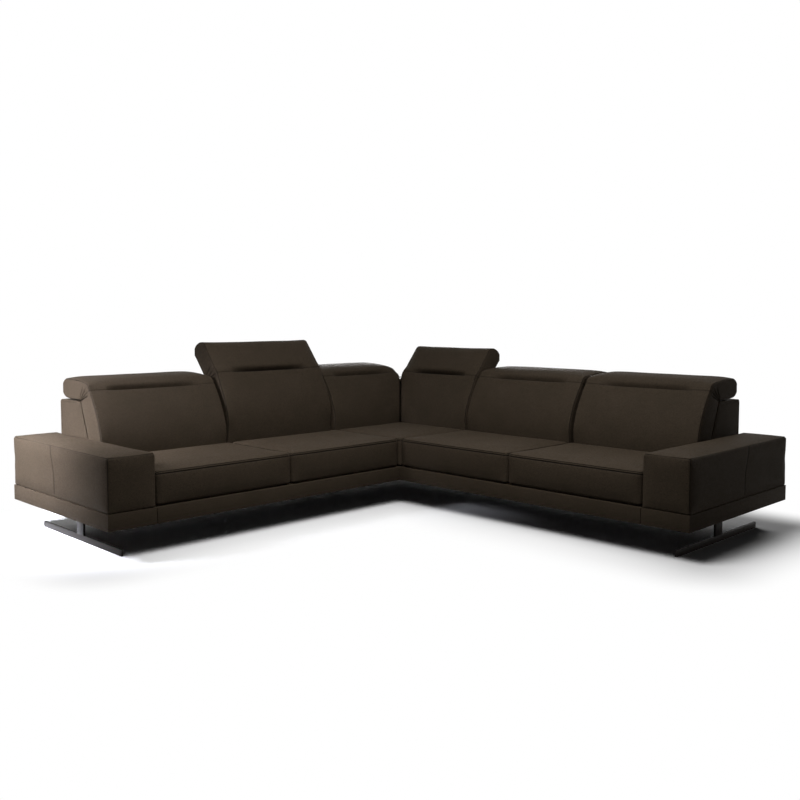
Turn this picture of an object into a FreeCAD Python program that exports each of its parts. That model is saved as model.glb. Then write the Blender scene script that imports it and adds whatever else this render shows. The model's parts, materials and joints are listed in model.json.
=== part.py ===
# Corner sofa with lifting backrests and tilting headrests, in millimetres.
# Two equal wings meet at the outer back corner. The origin is on the floor, under the middle of
# the whole sofa: +Z is up, the right wing runs along X and faces -Y, the left wing runs along Y
# and faces +X. Places are given by t, the distance along a wing from the outer back corner, by u,
# the distance from the wing's back plane, and by z, the height above the floor.
import FreeCAD, Part
import Sketcher
import math
import os
import re

Vector = FreeCAD.Vector

# Driving dimensions
SIZES = {
    # overall
    "wing_length": 2850,
    "seat_depth_overall": 1036,
    "arm_width": 241,
    # plinth and what carries it
    "floor_clearance": 148,
    "plinth_height": 77,
    "rail_thickness": 35,
    "cross_rail_width": 40,
    "dust_cover_thickness": 2,
    "deck_thickness": 18,
    "strap_width": 60,
    "strap_thickness": 2.5,
    "strap_pitch": 92,
    "strap_edge_gap": 19,
    # legs
    "leg_plate_thickness": 12,
    "leg_inset": 110,
    "foot_bar_height": 30,
    "foot_bar_end_gap": 100,
    "leg_post_width": 70,
    "mount_plate_width": 60,
    "mount_plate_length": 160,
    "mount_plate_thickness": 6,
    "leg_bolt_radius": 4,
    "leg_bolt_length": 40,
    "leg_bolt_head_radius": 7,
    "leg_bolt_head_height": 5,
    "leg_bolt_spacing": 120,
    "leg_bolt_edge": 12,
    "bolt_clearance": 0.1,
    "bolt_hole_spare": 2,
    "cut_margin": 1,
    "foot_radius": 26,
    "foot_sole_radius": 18,
    "foot_rear_inset": 150,
    "foot_inner_inset": 445,
    # arms
    "arm_height": 262,
    "arm_wall": 22,
    "arm_edge_radius": 20,
    "arm_board": 15,
    "arm_side_gap": 2,
    "arm_seat_gap": 3,
    # seats
    "seat_rear_depth": 462,
    "seat_thickness": 168,
    "seat_lift_gap": 0.5,
    "seat_crown": 9,
    "seat_front_bulge": 5,
    "seat_edge_radius": 26,
    "seat_heel_radius": 8,
    "seat_rear_radius": 12,
    "seat_gap": 3,
    # back shell and its ribs
    "shell_top_height": 655,
    "shell_thickness": 22,
    "shell_end_thickness": 30,
    "shell_end_gap": 19,
    "shell_front_gap": 3,
    "shell_side_gap": 1,
    "rib_thickness": 22,
    # the sloping line that each backrest lifts along
    "lean_angle": 68,
    "lean_foot_depth": 408,
    "lift_travel": 60,
    "sleeve_size": 28,
    "sleeve_board_gap": 3.5,
    "rod_radius": 8,
    "rod_clearance": 0.5,
    "rod_collar_radius": 13,
    "rod_collar_length": 15,
    "rod_block_width": 30,
    "rod_block_length": 35,
    "rod_block_set": 10,
    "rod_block_gap": 35,
    "rod_stop_clearance": 10,
    "rod_top_gap": 18,
    "rod_foot_gap": 40,
    "rod_end_inset": 130,
    "board_thickness": 12,
    "board_end_inset": 40,
    "board_foot_gap": 16,
    "board_top_gap": 6,
    # backrest cushions
    "cushion_rear_gap": 1.5,
    "cushion_rear_drop": 8,
    "cushion_bottom_height": 300,
    "cushion_seat_gap": 10,
    "cushion_face_foot": 90,
    "cushion_face_bulge": 12,
    "cushion_end_draw": 13,
    "cushion_lip_rise": 10,
    "cushion_lip_width": 30,
    "cushion_lip_radius": 15,
    "cushion_gap": 20,
    "mitre_gap": 5,
    # headrests
    "pivot_forward": 44,
    "pad_nose_radius": 58,
    "pad_nose_clearance": 2,
    "pad_nose_lift": 1,
    "pad_underside_gap": 14,
    "pad_thickness": 118,
    "pad_rear_depth": 48,
    "pad_rear_radius": 42,
    "pad_crown": 6,
    "pad_end_draw": 10,
    "corner_pad_gap": 90,
    "raised_angle": 50,
    "hinge_plate": 6,
    "hinge_gap": 1,
    "hinge_pin_radius": 5,
    "hinge_pin_clearance": 0.08,
    "hinge_knuckle_radius": 16,
    "hinge_slot_margin": 4,
    "hinge_slot_rear": 14,
    "hinge_slot_front": 6,
    "hinge_slot_top": 12,
    "hinge_foot_length": 75,
    "hinge_head_reach": 11,
    "hinge_head_half": 9,
    "hinge_head_step": 5,
    "hinge_end_inset": 95,
    "headrest_bar_thickness": 12,
    "headrest_bar_depth": 70,
    "headrest_arm_width": 24,
    "headrest_bar_rise": 6,
}

# Values that follow from the driving dimensions, as expressions of them
DERIVED = {
    "half_length": "wing_length / 2",
    "plinth_top": "floor_clearance + plinth_height",
    "arm_start": "wing_length - arm_width",
    "seat_split": "(seat_depth_overall + arm_start) / 2",
    "rail_reach": "seat_depth_overall - rail_thickness",
    "cushion_floor": "plinth_top + strap_thickness + seat_lift_gap",
    "lean_run": "cos(lean_angle) / sin(lean_angle)",
    "rod_stop_gap": "lift_travel + rod_stop_clearance",
    "rod_head": "rod_block_gap + rod_block_length",
    "rod_room": "lift_travel + rod_top_gap + rod_head + rod_stop_gap + rod_collar_length + rod_foot_gap",
    "shelf_underside": "shell_top_height - shell_thickness",
    "sleeve_length": "(shelf_underside - plinth_top) / sin(lean_angle) - (rod_room)",
    "sleeve_headroom": "sleeve_length / 2 + rod_head + lift_travel + rod_top_gap",
    "lean_zero_height": "shelf_underside - (sleeve_headroom) * sin(lean_angle)",
    "lean_zero_depth": "lean_foot_depth - (lean_zero_height - plinth_top) * lean_run",
    "shell_end": "arm_start - shell_end_gap",
    "pivot_height": "shell_top_height + pad_nose_radius + pad_nose_lift",
    "pivot_depth": "lean_foot_depth - (pivot_height - plinth_top) * lean_run + pivot_forward",
    "corner_pad_start": "pivot_depth + pad_nose_radius + corner_pad_gap",
    "board_rear": "cushion_rear_gap - board_thickness",
    "sleeve_front": "board_rear - sleeve_board_gap",
    "sleeve_rear": "sleeve_front - sleeve_size",
    "rod_centre": "sleeve_front - sleeve_size / 2",
    "board_bottom": "(cushion_bottom_height + board_foot_gap - lean_zero_height) / sin(lean_angle)",
    "board_top": "(shell_top_height - board_top_gap - lean_zero_height) / sin(lean_angle)",
    "rod_top": "sleeve_length / 2 + rod_head",
    "rod_bottom": "-sleeve_length / 2 - rod_stop_gap - rod_collar_length",
    "cushion_front": "seat_rear_depth - cushion_seat_gap",
    "leg_middle": "wing_length - leg_inset - leg_plate_thickness / 2",
    "leg_centre_depth": "seat_depth_overall / 2",
}

# Which backrest stands where, and how it was left: lifted, and its headrest raised
UNITS = [
    ("right_corner", "right", "corner", False, True),
    ("right_middle", "right", "middle", False, False),
    ("right_outer", "right", "outer", False, False),
    ("left_corner", "left", "corner", False, False),
    ("left_middle", "left", "middle", True, True),
    ("left_outer", "left", "outer", False, False),
]
SIDES = ("right", "left")
CROSS_RAILS_PER_WING = 4

# How much of a cushion's full roundness its ends keep
END_SHARE = 0.3
# Directions about a headrest's pivot, in degrees up from straight ahead: chin, nose and brow
CHIN = -25
NOSE = 30
BROW = 80

doc = FreeCAD.newDocument("corner_sofa")
sheet = doc.addObject("Spreadsheet::Sheet", "sizes")
for row, (alias, number) in enumerate(SIZES.items(), start=1):
    sheet.set(f"A{row}", alias.replace("_", " "))
    sheet.set(f"B{row}", str(number))
    sheet.setAlias(f"B{row}", alias)
doc.recompute()

parts = []
used_names = {}


# Expressions


def spelled(expression):
    """The expression with every derived value written out in driving dimensions."""
    found = True
    while found:
        found = False
        for name, meaning in DERIVED.items():
            longer = re.sub(rf"\b{name}\b", f"({meaning})", expression)
            found = found or longer != expression
            expression = longer
    return expression


def bound(expression):
    """The expression as an object of the document reads it, through the sheet."""
    names = "|".join(SIZES)
    return re.sub(rf"\b({names})\b", r"sizes.\1", spelled(str(expression)))


def size(expression):
    """The expression's number, worked out from the sheet."""
    return float(sheet.evalExpression(spelled(str(expression))))


def bind(thing, prop, expression):
    """Ties one property of an object to the sheet."""
    thing.setExpression(prop, bound(expression))


def new_name(name):
    """A name that no object of the document has yet."""
    used_names[name] = used_names.get(name, 0) + 1
    return f"{name}_{used_names[name]}"


# Shapes in a wing's own frame: x is t, or minus t on the left wing, and y is minus u


def start_of(side, t0, t1):
    """Where a piece from t0 to t1 starts along the wing's own x."""
    return f"{t0}" if side == "right" else f"-({t1})"


def bar(side, t0, t1, u0, u1, z0, z1):
    """A straight block along, across and up."""
    block = doc.addObject("Part::Box", new_name("block"))
    bind(block, "Length", f"({t1}) - ({t0})")
    bind(block, "Width", f"({u1}) - ({u0})")
    bind(block, "Height", f"({z1}) - ({z0})")
    bind(block, "Placement.Base.x", start_of(side, t0, t1))
    bind(block, "Placement.Base.y", f"-({u1})")
    bind(block, "Placement.Base.z", z0)
    return block


def leaning_base(thing, n, s):
    """Stands an object on the lean line: n in front of the line, s up along it."""
    depth = f"lean_zero_depth + ({n}) * sin(lean_angle) - ({s}) * cos(lean_angle)"
    bind(thing, "Placement.Base.y", f"-({depth})")
    bind(thing, "Placement.Base.z", f"lean_zero_height + ({n}) * cos(lean_angle) + ({s}) * sin(lean_angle)")
    thing.Placement.Rotation = FreeCAD.Rotation(Vector(1, 0, 0), size("lean_angle - 90"))


def leaning_bar(side, t0, t1, n0, n1, s0, s1):
    """A block square to the lean line."""
    block = doc.addObject("Part::Box", new_name("leaning_block"))
    bind(block, "Length", f"({t1}) - ({t0})")
    bind(block, "Width", f"({n1}) - ({n0})")
    bind(block, "Height", f"({s1}) - ({s0})")
    leaning_base(block, n1, s0)
    bind(block, "Placement.Base.x", start_of(side, t0, t1))
    return block


def leaning_rod(side, t, n, radius, s0, s1):
    """A round bar along the lean line."""
    rod = doc.addObject("Part::Cylinder", new_name("leaning_rod"))
    bind(rod, "Radius", radius)
    bind(rod, "Height", f"({s1}) - ({s0})")
    leaning_base(rod, n, s0)
    bind(rod, "Placement.Base.x", start_of(side, t, t))
    return rod


def upright(side, t, u, radius, z0, z1):
    """A standing cylinder."""
    post = doc.addObject("Part::Cylinder", new_name("upright"))
    bind(post, "Radius", radius)
    bind(post, "Height", f"({z1}) - ({z0})")
    bind(post, "Placement.Base.x", start_of(side, t, t))
    bind(post, "Placement.Base.y", f"-({u})")
    bind(post, "Placement.Base.z", z0)
    return post


def cross_pin(side, t0, t1, u, z, radius):
    """A round bar along the wing."""
    pin = doc.addObject("Part::Cylinder", new_name("cross_pin"))
    bind(pin, "Radius", radius)
    bind(pin, "Height", f"({t1}) - ({t0})")
    bind(pin, "Placement.Base.x", start_of(side, t0, t1))
    bind(pin, "Placement.Base.y", f"-({u})")
    bind(pin, "Placement.Base.z", z)
    pin.Placement.Rotation = FreeCAD.Rotation(Vector(0, 1, 0), 90)
    return pin


def plate(side, corners, t0, t1):
    """A plate across the wing, cut to an outline of (u, z) corners."""
    body = doc.addObject("PartDesign::Body", new_name("plate"))
    sketch = body.newObject("Sketcher::SketchObject", new_name("outline"))
    plane = [f for f in body.Origin.OriginFeatures if f.Role == "YZ_Plane"][0]
    sketch.AttachmentSupport = [(plane, "")]
    sketch.MapMode = "FlatFace"
    points = [Vector(-size(u), size(z), 0) for u, z in corners]
    count = len(points)
    for i in range(count):
        sketch.addGeometry(Part.LineSegment(points[i], points[(i + 1) % count]))
    for i in range(count):
        sketch.addConstraint(Sketcher.Constraint("Coincident", i, 2, (i + 1) % count, 1))
    for i, (u, z) in enumerate(corners):
        across = sketch.addConstraint(Sketcher.Constraint("DistanceX", -1, 1, i, 1, points[i].x))
        sketch.setExpression(f"Constraints[{across}]", bound(f"-({u})"))
        up = sketch.addConstraint(Sketcher.Constraint("DistanceY", -1, 1, i, 1, points[i].y))
        sketch.setExpression(f"Constraints[{up}]", bound(z))
    pad = body.newObject("PartDesign::Pad", new_name("thickness"))
    pad.Profile = sketch
    bind(pad, "Length", f"({t1}) - ({t0})")
    bind(body, "Placement.Base.x", start_of(side, t0, t1))
    return body


def joined(*shapes):
    """Shapes made one solid."""
    whole = doc.addObject("Part::MultiFuse", new_name("joined"))
    whole.Shapes = list(shapes)
    whole.Refine = True
    return whole


def cut(base, *tools):
    """A shape with others taken out of it."""
    rest = doc.addObject("Part::Cut", new_name("cut"))
    rest.Base = base
    rest.Tool = tools[0] if len(tools) == 1 else joined(*tools)
    return rest


def on_lean(z):
    """The lean line's depth at a height, as an expression."""
    return f"lean_foot_depth - (({z}) - plinth_top) * lean_run"


# Placements


def wing_frame(side):
    """A wing's own frame in the sofa's frame."""
    corner = Vector(-size("half_length"), size("half_length"), 0)
    turn = 0 if side == "right" else 90
    return FreeCAD.Placement(corner, FreeCAD.Rotation(Vector(0, 0, 1), turn))


def unit_frame(side, lifted):
    """The same, moved up along the lean line where the backrest stands lifted."""
    reach = size("lift_travel") if lifted else 0
    lean = math.radians(size("lean_angle"))
    lift = FreeCAD.Placement(Vector(0, reach * math.cos(lean), reach * math.sin(lean)), FreeCAD.Rotation())
    return wing_frame(side).multiply(lift)


def headrest_frame(side, lifted, raised):
    """The same, turned about the headrest's pivot where the headrest stands raised."""
    pivot = Vector(0, -size("pivot_depth"), size("pivot_height"))
    angle = size("raised_angle") if raised else 0
    tilt = FreeCAD.Placement(Vector(), FreeCAD.Rotation(Vector(1, 0, 0), angle), pivot)
    return unit_frame(side, lifted).multiply(tilt)


def group_of(name, shapes, frame):
    """The shapes as one group, in its place."""
    group = doc.addObject("Part::Compound", name)
    group.Links = shapes
    group.Placement = frame
    return group


def keep(label, shapes, frame):
    """Makes one sub-part of the shapes, under its own label, in its place."""
    group = group_of(label, shapes, frame)
    group.Label = label
    parts.append(group)


def keep_both(label, shapes_of):
    """Makes one sub-part of the like pieces of both wings."""
    wings = [group_of(new_name("wing_group"), shapes_of[side], wing_frame(side)) for side in SIDES]
    keep(label, wings, FreeCAD.Placement())


# Soft forms: sections of lines and arcs, lofted along the wing


def soft_section(place, corners, bulges):
    """A closed wire: corners are (u, z, radius), and side i bulges outwards by bulges[i]."""
    count = len(corners)
    centre = Vector(sum(c[0] for c in corners) / count, sum(c[1] for c in corners) / count, 0)
    entries = []
    exits = []
    middles = []
    for i, (u, z, radius) in enumerate(corners):
        here = Vector(u, z, 0)
        back = Vector(*corners[i - 1][:2], 0).sub(here).normalize()
        ahead = Vector(*corners[(i + 1) % count][:2], 0).sub(here).normalize()
        half_turn = back.getAngle(ahead) / 2
        inward = back.add(ahead).normalize()
        entries.append(here.add(back * (radius / math.tan(half_turn))))
        exits.append(here.add(ahead * (radius / math.tan(half_turn))))
        middles.append(here.add(inward * (radius / math.sin(half_turn) - radius)))
    edges = []
    for i in range(count):
        edges.append(Part.Arc(place(entries[i]), place(middles[i]), place(exits[i])).toShape())
        end = entries[(i + 1) % count]
        halfway = (exits[i] + end) * 0.5
        outward = Vector((end - exits[i]).y, -(end - exits[i]).x, 0).normalize()
        if outward.dot(halfway - centre) < 0:
            outward = outward * -1
        if bulges[i]:
            bowed = halfway + outward * bulges[i]
            edges.append(Part.Arc(place(exits[i]), place(bowed), place(end)).toShape())
        else:
            edges.append(Part.LineSegment(place(exits[i]), place(end)).toShape())
    return Part.Wire(edges)


def swell(crown):
    """How full a section is, from its share at the ends to whole at the middle."""
    return END_SHARE + (1 - END_SHARE) * crown


def stations(start, end, draw_length):
    """Places along a cushion, each with its share of drawing in and its share of crown."""
    rounding = [(0, 1), (0.12, 0.53), (0.4, 0.2), (1, 0)]
    places = []
    length = end - start
    for share, draw in rounding:
        places.append((start + share * draw_length, draw))
    for share in (0.3, 0.5, 0.7):
        places.append((start + share * length, 0))
    for share, draw in reversed(rounding):
        places.append((end - share * draw_length, draw))
    return [(t, draw, 1 - ((2 * (t - start) / length) - 1) ** 2) for t, draw in places]


def soft_loft(name, side, wire_of, start, end, draw_length, mitre=None):
    """A cushion lofted along the wing. A mitred end follows the line t = u + mitre."""
    flip = 1 if side == "right" else -1
    wires = []
    for t, draw, crown in stations(start, end, draw_length):

        def place(point, t=t):
            share = (end - t) / (end - start)
            shift = 0 if mitre is None else share * (point.x + mitre - start)
            return Vector(flip * (t + shift), -point.x, point.y)

        wires.append(wire_of(place, draw, crown))
    solid = doc.addObject("Part::Feature", new_name(name))
    solid.Shape = Part.makeLoft(wires, True, True)
    return solid


def seat_wire(front, rear, bottom):
    """The seat's section, drawn in at its ends and crowned at its middle, as a function."""
    full_top = size("cushion_floor + seat_thickness")
    radius = size("seat_edge_radius")

    def wire(place, draw, crown):
        inset = draw * radius * 0.7
        top = full_top - inset * 0.6
        corners = [
            (rear + inset * 0.3, bottom, size("seat_heel_radius")),
            (front - inset, bottom + inset * 0.4, radius * 0.8),
            (front - inset, top, radius),
            (rear + inset * 0.3, top, size("seat_rear_radius")),
        ]
        bulges = [0, size("seat_front_bulge"), size("seat_crown") * swell(crown), 0]
        return soft_section(place, corners, bulges)

    return wire


def back_wire(place, draw, crown):
    """The backrest's section, with its bowed face and the hollow top that the headrest's nose sits in."""
    inset = draw * size("cushion_end_draw")
    pivot = Vector(size("pivot_depth"), size("pivot_height"), 0)
    hollow = size("pad_nose_radius + pad_nose_clearance")
    front = size("cushion_front") - inset
    bottom = size("cushion_bottom_height")
    rear_gap = size("cushion_rear_gap / sin(lean_angle)")
    lip_rise = size("cushion_lip_rise")
    lip_radius = size("cushion_lip_radius")
    hollow_front = math.asin(lip_rise / hollow)

    def in_hollow(angle):
        return pivot + Vector(math.cos(angle), math.sin(angle), 0) * hollow

    rear_foot = Vector(size(on_lean("cushion_bottom_height")) + rear_gap, bottom, 0)
    front_foot = Vector(front, bottom, 0)
    face_foot = Vector(front, bottom + size("cushion_face_foot"), 0)
    lip_rear = in_hollow(hollow_front)
    lip_front = lip_rear + Vector(size("cushion_lip_width") - lip_radius - inset, 0, 0)
    face_top = lip_front + Vector(lip_radius, -lip_radius, 0)
    lip_middle = lip_front + Vector(math.sqrt(0.5), math.sqrt(0.5) - 1, 0) * lip_radius
    rear_height = "shell_top_height - cushion_rear_drop"
    rear_top = Vector(size(on_lean(rear_height)) + rear_gap, size(rear_height), 0)
    hollow_rear = -math.pi / 2 - math.asin((pivot.x - rear_top.x) / hollow)
    chord = face_top - face_foot
    bulge = size("cushion_face_bulge") * (1 - END_SHARE + END_SHARE * crown)
    face_middle = (face_foot + face_top) * 0.5 + Vector(chord.y, -chord.x, 0).normalize() * bulge

    def hollow_arc(first, last):
        halfway = in_hollow((first + last) / 2)
        return Part.Arc(place(in_hollow(first)), place(halfway), place(in_hollow(last))).toShape()

    hollow_middle = (hollow_front + hollow_rear) / 2
    edges = [
        Part.LineSegment(place(rear_foot), place(front_foot)).toShape(),
        Part.LineSegment(place(front_foot), place(face_foot)).toShape(),
        Part.Arc(place(face_foot), place(face_middle), place(face_top)).toShape(),
        Part.Arc(place(face_top), place(lip_middle), place(lip_front)).toShape(),
        Part.LineSegment(place(lip_front), place(lip_rear)).toShape(),
        hollow_arc(hollow_front, hollow_middle),
        hollow_arc(hollow_middle, hollow_rear),
        Part.LineSegment(place(in_hollow(hollow_rear)), place(rear_top)).toShape(),
        Part.LineSegment(place(rear_top), place(rear_foot)).toShape(),
    ]
    return Part.Wire(edges)


def pad_wire(place, draw, crown):
    """The headrest's section, folded back: a round nose about the pivot and a long rounded tail."""
    pivot_u = size("pivot_depth")
    pivot_z = size("pivot_height")
    nose = size("pad_nose_radius")
    low = size("shell_top_height + pad_underside_gap")
    high = low + size("pad_thickness")
    rear = size("pad_rear_depth")
    radius = size("pad_rear_radius")
    middle = Vector((rear + pivot_u) / 2, (low + high) / 2, 0)
    shrink = 1 - draw * size("pad_end_draw") / (high - low) * 2

    def spot(u, z):
        return place(middle + (Vector(u, z, 0) - middle) * shrink)

    def on_nose(degrees):
        angle = math.radians(degrees)
        return spot(pivot_u + nose * math.cos(angle), pivot_z + nose * math.sin(angle))

    root = math.sqrt(0.5) * radius
    top_start = (rear + radius, high)
    brow = math.radians(BROW)
    top_end = (pivot_u + nose * math.cos(brow), pivot_z + nose * math.sin(brow))
    rise = size("pad_crown") * swell(crown)
    top_middle = ((top_start[0] + top_end[0]) / 2, (top_start[1] + top_end[1]) / 2 + rise)
    heel = -180 + math.degrees(math.asin((pivot_z - low) / nose))
    edges = [
        Part.Arc(on_nose(heel), on_nose((heel + CHIN) / 2), on_nose(CHIN)).toShape(),
        Part.Arc(on_nose(CHIN), on_nose(NOSE), on_nose(BROW)).toShape(),
        Part.Arc(spot(*top_end), spot(*top_middle), spot(*top_start)).toShape(),
        Part.Arc(
            spot(*top_start), spot(rear + radius - root, high - radius + root), spot(rear, high - radius)
        ).toShape(),
        Part.LineSegment(spot(rear, high - radius), spot(rear, low + radius)).toShape(),
        Part.Arc(
            spot(rear, low + radius),
            spot(rear + radius - root, low + radius - root),
            spot(rear + radius, low),
        ).toShape(),
        Part.LineSegment(spot(rear + radius, low), on_nose(heel)).toShape(),
    ]
    return Part.Wire(edges)


# Plinth: leather-wrapped rails, cross rails, deck, straps and dust covers


def plinth():
    rail_z = ("floor_clearance", "plinth_top")
    inner_end = {"right": "0", "left": "rail_thickness"}
    cross_rails = {}
    for side in SIDES:
        front = bar(side, "seat_depth_overall", "arm_start", "rail_reach", "seat_depth_overall", *rail_z)
        rear = bar(side, inner_end[side], "arm_start", "0", "rail_thickness", *rail_z)
        keep(f"plinth_rails_{side}", [front, rear], wing_frame(side))
        rails = []
        for i in range(CROSS_RAILS_PER_WING):
            share = i / (CROSS_RAILS_PER_WING - 1)
            t = f"seat_depth_overall + {share} * (arm_start - seat_depth_overall - cross_rail_width)"
            height = ("floor_clearance + dust_cover_thickness", "plinth_top")
            rails.append(bar(side, t, f"{t} + cross_rail_width", "rail_thickness", "rail_reach", *height))
        cross_rails[side] = rails
    keep_both("cross_rails", cross_rails)


def deck_and_straps():
    deck_z = ("plinth_top - deck_thickness", "plinth_top")
    reach = ("rail_thickness", "seat_depth_overall")
    keep("corner_deck", [bar("right", *reach, *reach, *deck_z)], wing_frame("right"))
    straps = {}
    room = size("rail_reach - strap_edge_gap - strap_width - seat_rear_depth")
    steps = math.floor(round(room / size("strap_pitch"), 6))
    for side in SIDES:
        straps[side] = []
        for i in range(steps + 1):
            u = f"seat_rear_depth + {i} * strap_pitch"
            height = ("plinth_top", "plinth_top + strap_thickness")
            width = (u, f"{u} + strap_width")
            straps[side].append(bar(side, "seat_depth_overall", "arm_start", *width, *height))
    keep_both("seat_webbing", straps)
    cover_z = ("floor_clearance", "floor_clearance + dust_cover_thickness")
    corner_cover = bar("right", *reach, *reach, *cover_z)
    wing_cover = bar("right", "seat_depth_overall", "arm_start", "rail_thickness", "rail_reach", *cover_z)
    left_cover = bar("left", "seat_depth_overall", "arm_start", "rail_thickness", "rail_reach", *cover_z)
    keep_both("dust_covers", {"right": [corner_cover, wing_cover], "left": [left_cover]})


# Arms: a padded leather cover over a box of boards, on its own stretch of plinth


def bolt_places():
    """Where the four bolts of a leg go, as (t, u)."""
    half = "leg_bolt_spacing / 2"
    side_step = "mount_plate_width / 2 - leg_bolt_edge"
    return [
        (f"leg_middle {a} ({side_step})", f"leg_centre_depth {b} {half}") for a in "-+" for b in "-+"
    ]


def arm(side):
    frame = wing_frame(side)
    cover_t = ("arm_start + arm_side_gap", "wing_length")
    cover_u = ("0", "seat_depth_overall")
    cover_z = ("plinth_top + arm_seat_gap", "plinth_top + arm_seat_gap + arm_height")
    outer = bar(side, *cover_t, *cover_u, *cover_z)
    doc.recompute()
    soft = doc.addObject("Part::Fillet", new_name("soft_edges"))
    soft.Base = outer
    radius = size("arm_edge_radius")
    soft.Edges = [(i + 1, radius, radius) for i in range(len(outer.Shape.Edges))]
    inner_t = ("arm_start + arm_side_gap + arm_wall", "wing_length - arm_wall")
    inner_u = ("arm_wall", "seat_depth_overall - arm_wall")
    inner_z = ("plinth_top", "plinth_top + arm_seat_gap + arm_height - arm_wall")
    keep(f"arm_cover_{side}", [cut(soft, bar(side, *inner_t, *inner_u, *inner_z))], frame)
    sides = [
        bar(side, inner_t[0], f"{inner_t[0]} + arm_board", *inner_u, *inner_z),
        bar(side, f"{inner_t[1]} - arm_board", inner_t[1], *inner_u, *inner_z),
    ]
    between = (f"{inner_t[0]} + arm_board", f"{inner_t[1]} - arm_board")
    ends = [
        bar(side, *between, inner_u[0], f"{inner_u[0]} + arm_board", *inner_z),
        bar(side, *between, f"{inner_u[1]} - arm_board", inner_u[1], *inner_z),
    ]
    within = (f"{inner_u[0]} + arm_board", f"{inner_u[1]} - arm_board")
    top = bar(side, *between, *within, f"{inner_z[1]} - arm_board", inner_z[1])
    return [*sides, *ends, top]


def arm_plinth(side):
    block = bar(side, "arm_start", "wing_length", "0", "seat_depth_overall", "floor_clearance", "plinth_top")
    half_width = "mount_plate_width / 2"
    half_length = "mount_plate_length / 2"
    plate_t = (f"leg_middle - {half_width}", f"leg_middle + {half_width}")
    plate_u = (f"leg_centre_depth - {half_length}", f"leg_centre_depth + {half_length}")
    plate_z = ("floor_clearance", "floor_clearance + mount_plate_thickness")
    pocket = bar(side, *plate_t, *plate_u, *plate_z)
    hole_z = ("floor_clearance", "floor_clearance + leg_bolt_length + bolt_hole_spare")
    holes = [upright(side, *place, "leg_bolt_radius + bolt_clearance", *hole_z) for place in bolt_places()]
    keep(f"plinth_arm_{side}", [cut(block, pocket, *holes)], wing_frame(side))


def sled_leg(side):
    """A T of flat bar: a foot bar on the floor and a post up to the plate that bolts on."""
    leg_t = ("leg_middle - leg_plate_thickness / 2", "leg_middle + leg_plate_thickness / 2")
    bar_u = ("foot_bar_end_gap", "seat_depth_overall - foot_bar_end_gap")
    foot = bar(side, *leg_t, *bar_u, "0", "foot_bar_height")
    half = "leg_post_width / 2"
    post_u = (f"leg_centre_depth - {half}", f"leg_centre_depth + {half}")
    post = bar(side, *leg_t, *post_u, "foot_bar_height", "floor_clearance")
    plate_t = ("leg_middle - mount_plate_width / 2", "leg_middle + mount_plate_width / 2")
    plate_u = ("leg_centre_depth - mount_plate_length / 2", "leg_centre_depth + mount_plate_length / 2")
    top = bar(side, *plate_t, *plate_u, "floor_clearance", "floor_clearance + mount_plate_thickness")
    hole_z = ("floor_clearance - cut_margin", "floor_clearance + mount_plate_thickness + cut_margin")
    holes = [upright(side, *place, "leg_bolt_radius + bolt_clearance", *hole_z) for place in bolt_places()]
    keep(f"sled_leg_{side}", [cut(joined(foot, post, top), *holes)], wing_frame(side))
    bolts = []
    under = "floor_clearance"
    for place in bolt_places():
        shank = upright(side, *place, "leg_bolt_radius", under, f"{under} + leg_bolt_length")
        head = upright(side, *place, "leg_bolt_head_radius", f"{under} - leg_bolt_head_height", under)
        bolts.append(joined(shank, head))
    return bolts


def support_feet():
    """Plain round feet under the corner, set back where they don't show."""
    rear = "foot_rear_inset"
    inner = "foot_inner_inset"
    beside = "seat_depth_overall + cross_rail_width / 2"
    places = [("right", rear, rear), ("right", inner, inner)]
    for side in SIDES:
        places.append((side, beside, rear))
        places.append((side, beside, inner))
    feet = {"right": [], "left": []}
    for side, t, u in places:
        foot = doc.addObject("Part::Cone", new_name("foot"))
        bind(foot, "Radius1", "foot_sole_radius")
        bind(foot, "Radius2", "foot_radius")
        bind(foot, "Height", "floor_clearance")
        bind(foot, "Placement.Base.x", start_of(side, t, t))
        bind(foot, "Placement.Base.y", f"-({u})")
        feet[side].append(foot)
    keep_both("support_feet", feet)


# Seats


def seats():
    gap = size("seat_gap")
    edge = size("seat_edge_radius")
    front = size("seat_depth_overall") - size("seat_front_bulge")
    rear = size("seat_rear_depth")
    inner = size("seat_depth_overall")
    split = size("seat_split")
    outer = size("arm_start")
    for side in SIDES:
        for label, start, end in (("inner", inner, split), ("outer", split, outer)):
            wire = seat_wire(front, rear, size("cushion_floor"))
            cushion = soft_loft("seat", side, wire, start + gap / 2, end - gap / 2, edge)
            keep(f"seat_cushion_{side}_{label}", [cushion], wing_frame(side))
    corner_front = inner - gap / 2 - size("seat_front_bulge")
    corner_wire = seat_wire(corner_front, rear, size("plinth_top + seat_lift_gap"))
    corner = soft_loft("seat", "right", corner_wire, rear, inner - gap / 2, edge)
    keep("seat_cushion_corner", [corner], wing_frame("right"))


# Back shell, its ribs and the sleeves that guide the backrests


def span_of(place):
    """A backrest's start and end along the wing, as expressions."""
    if place == "corner":
        return ("corner_pad_start", "seat_depth_overall - cushion_gap / 4")
    if place == "middle":
        return ("seat_depth_overall + cushion_gap / 4", "seat_split - cushion_gap / 2")
    return ("seat_split + cushion_gap / 2", "shell_end - shell_side_gap")


def rod_places(place):
    """Where a backrest's two rods stand along the wing."""
    start, end = span_of(place)
    return [f"({start}) + rod_end_inset", f"({end}) - rod_end_inset"]


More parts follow.
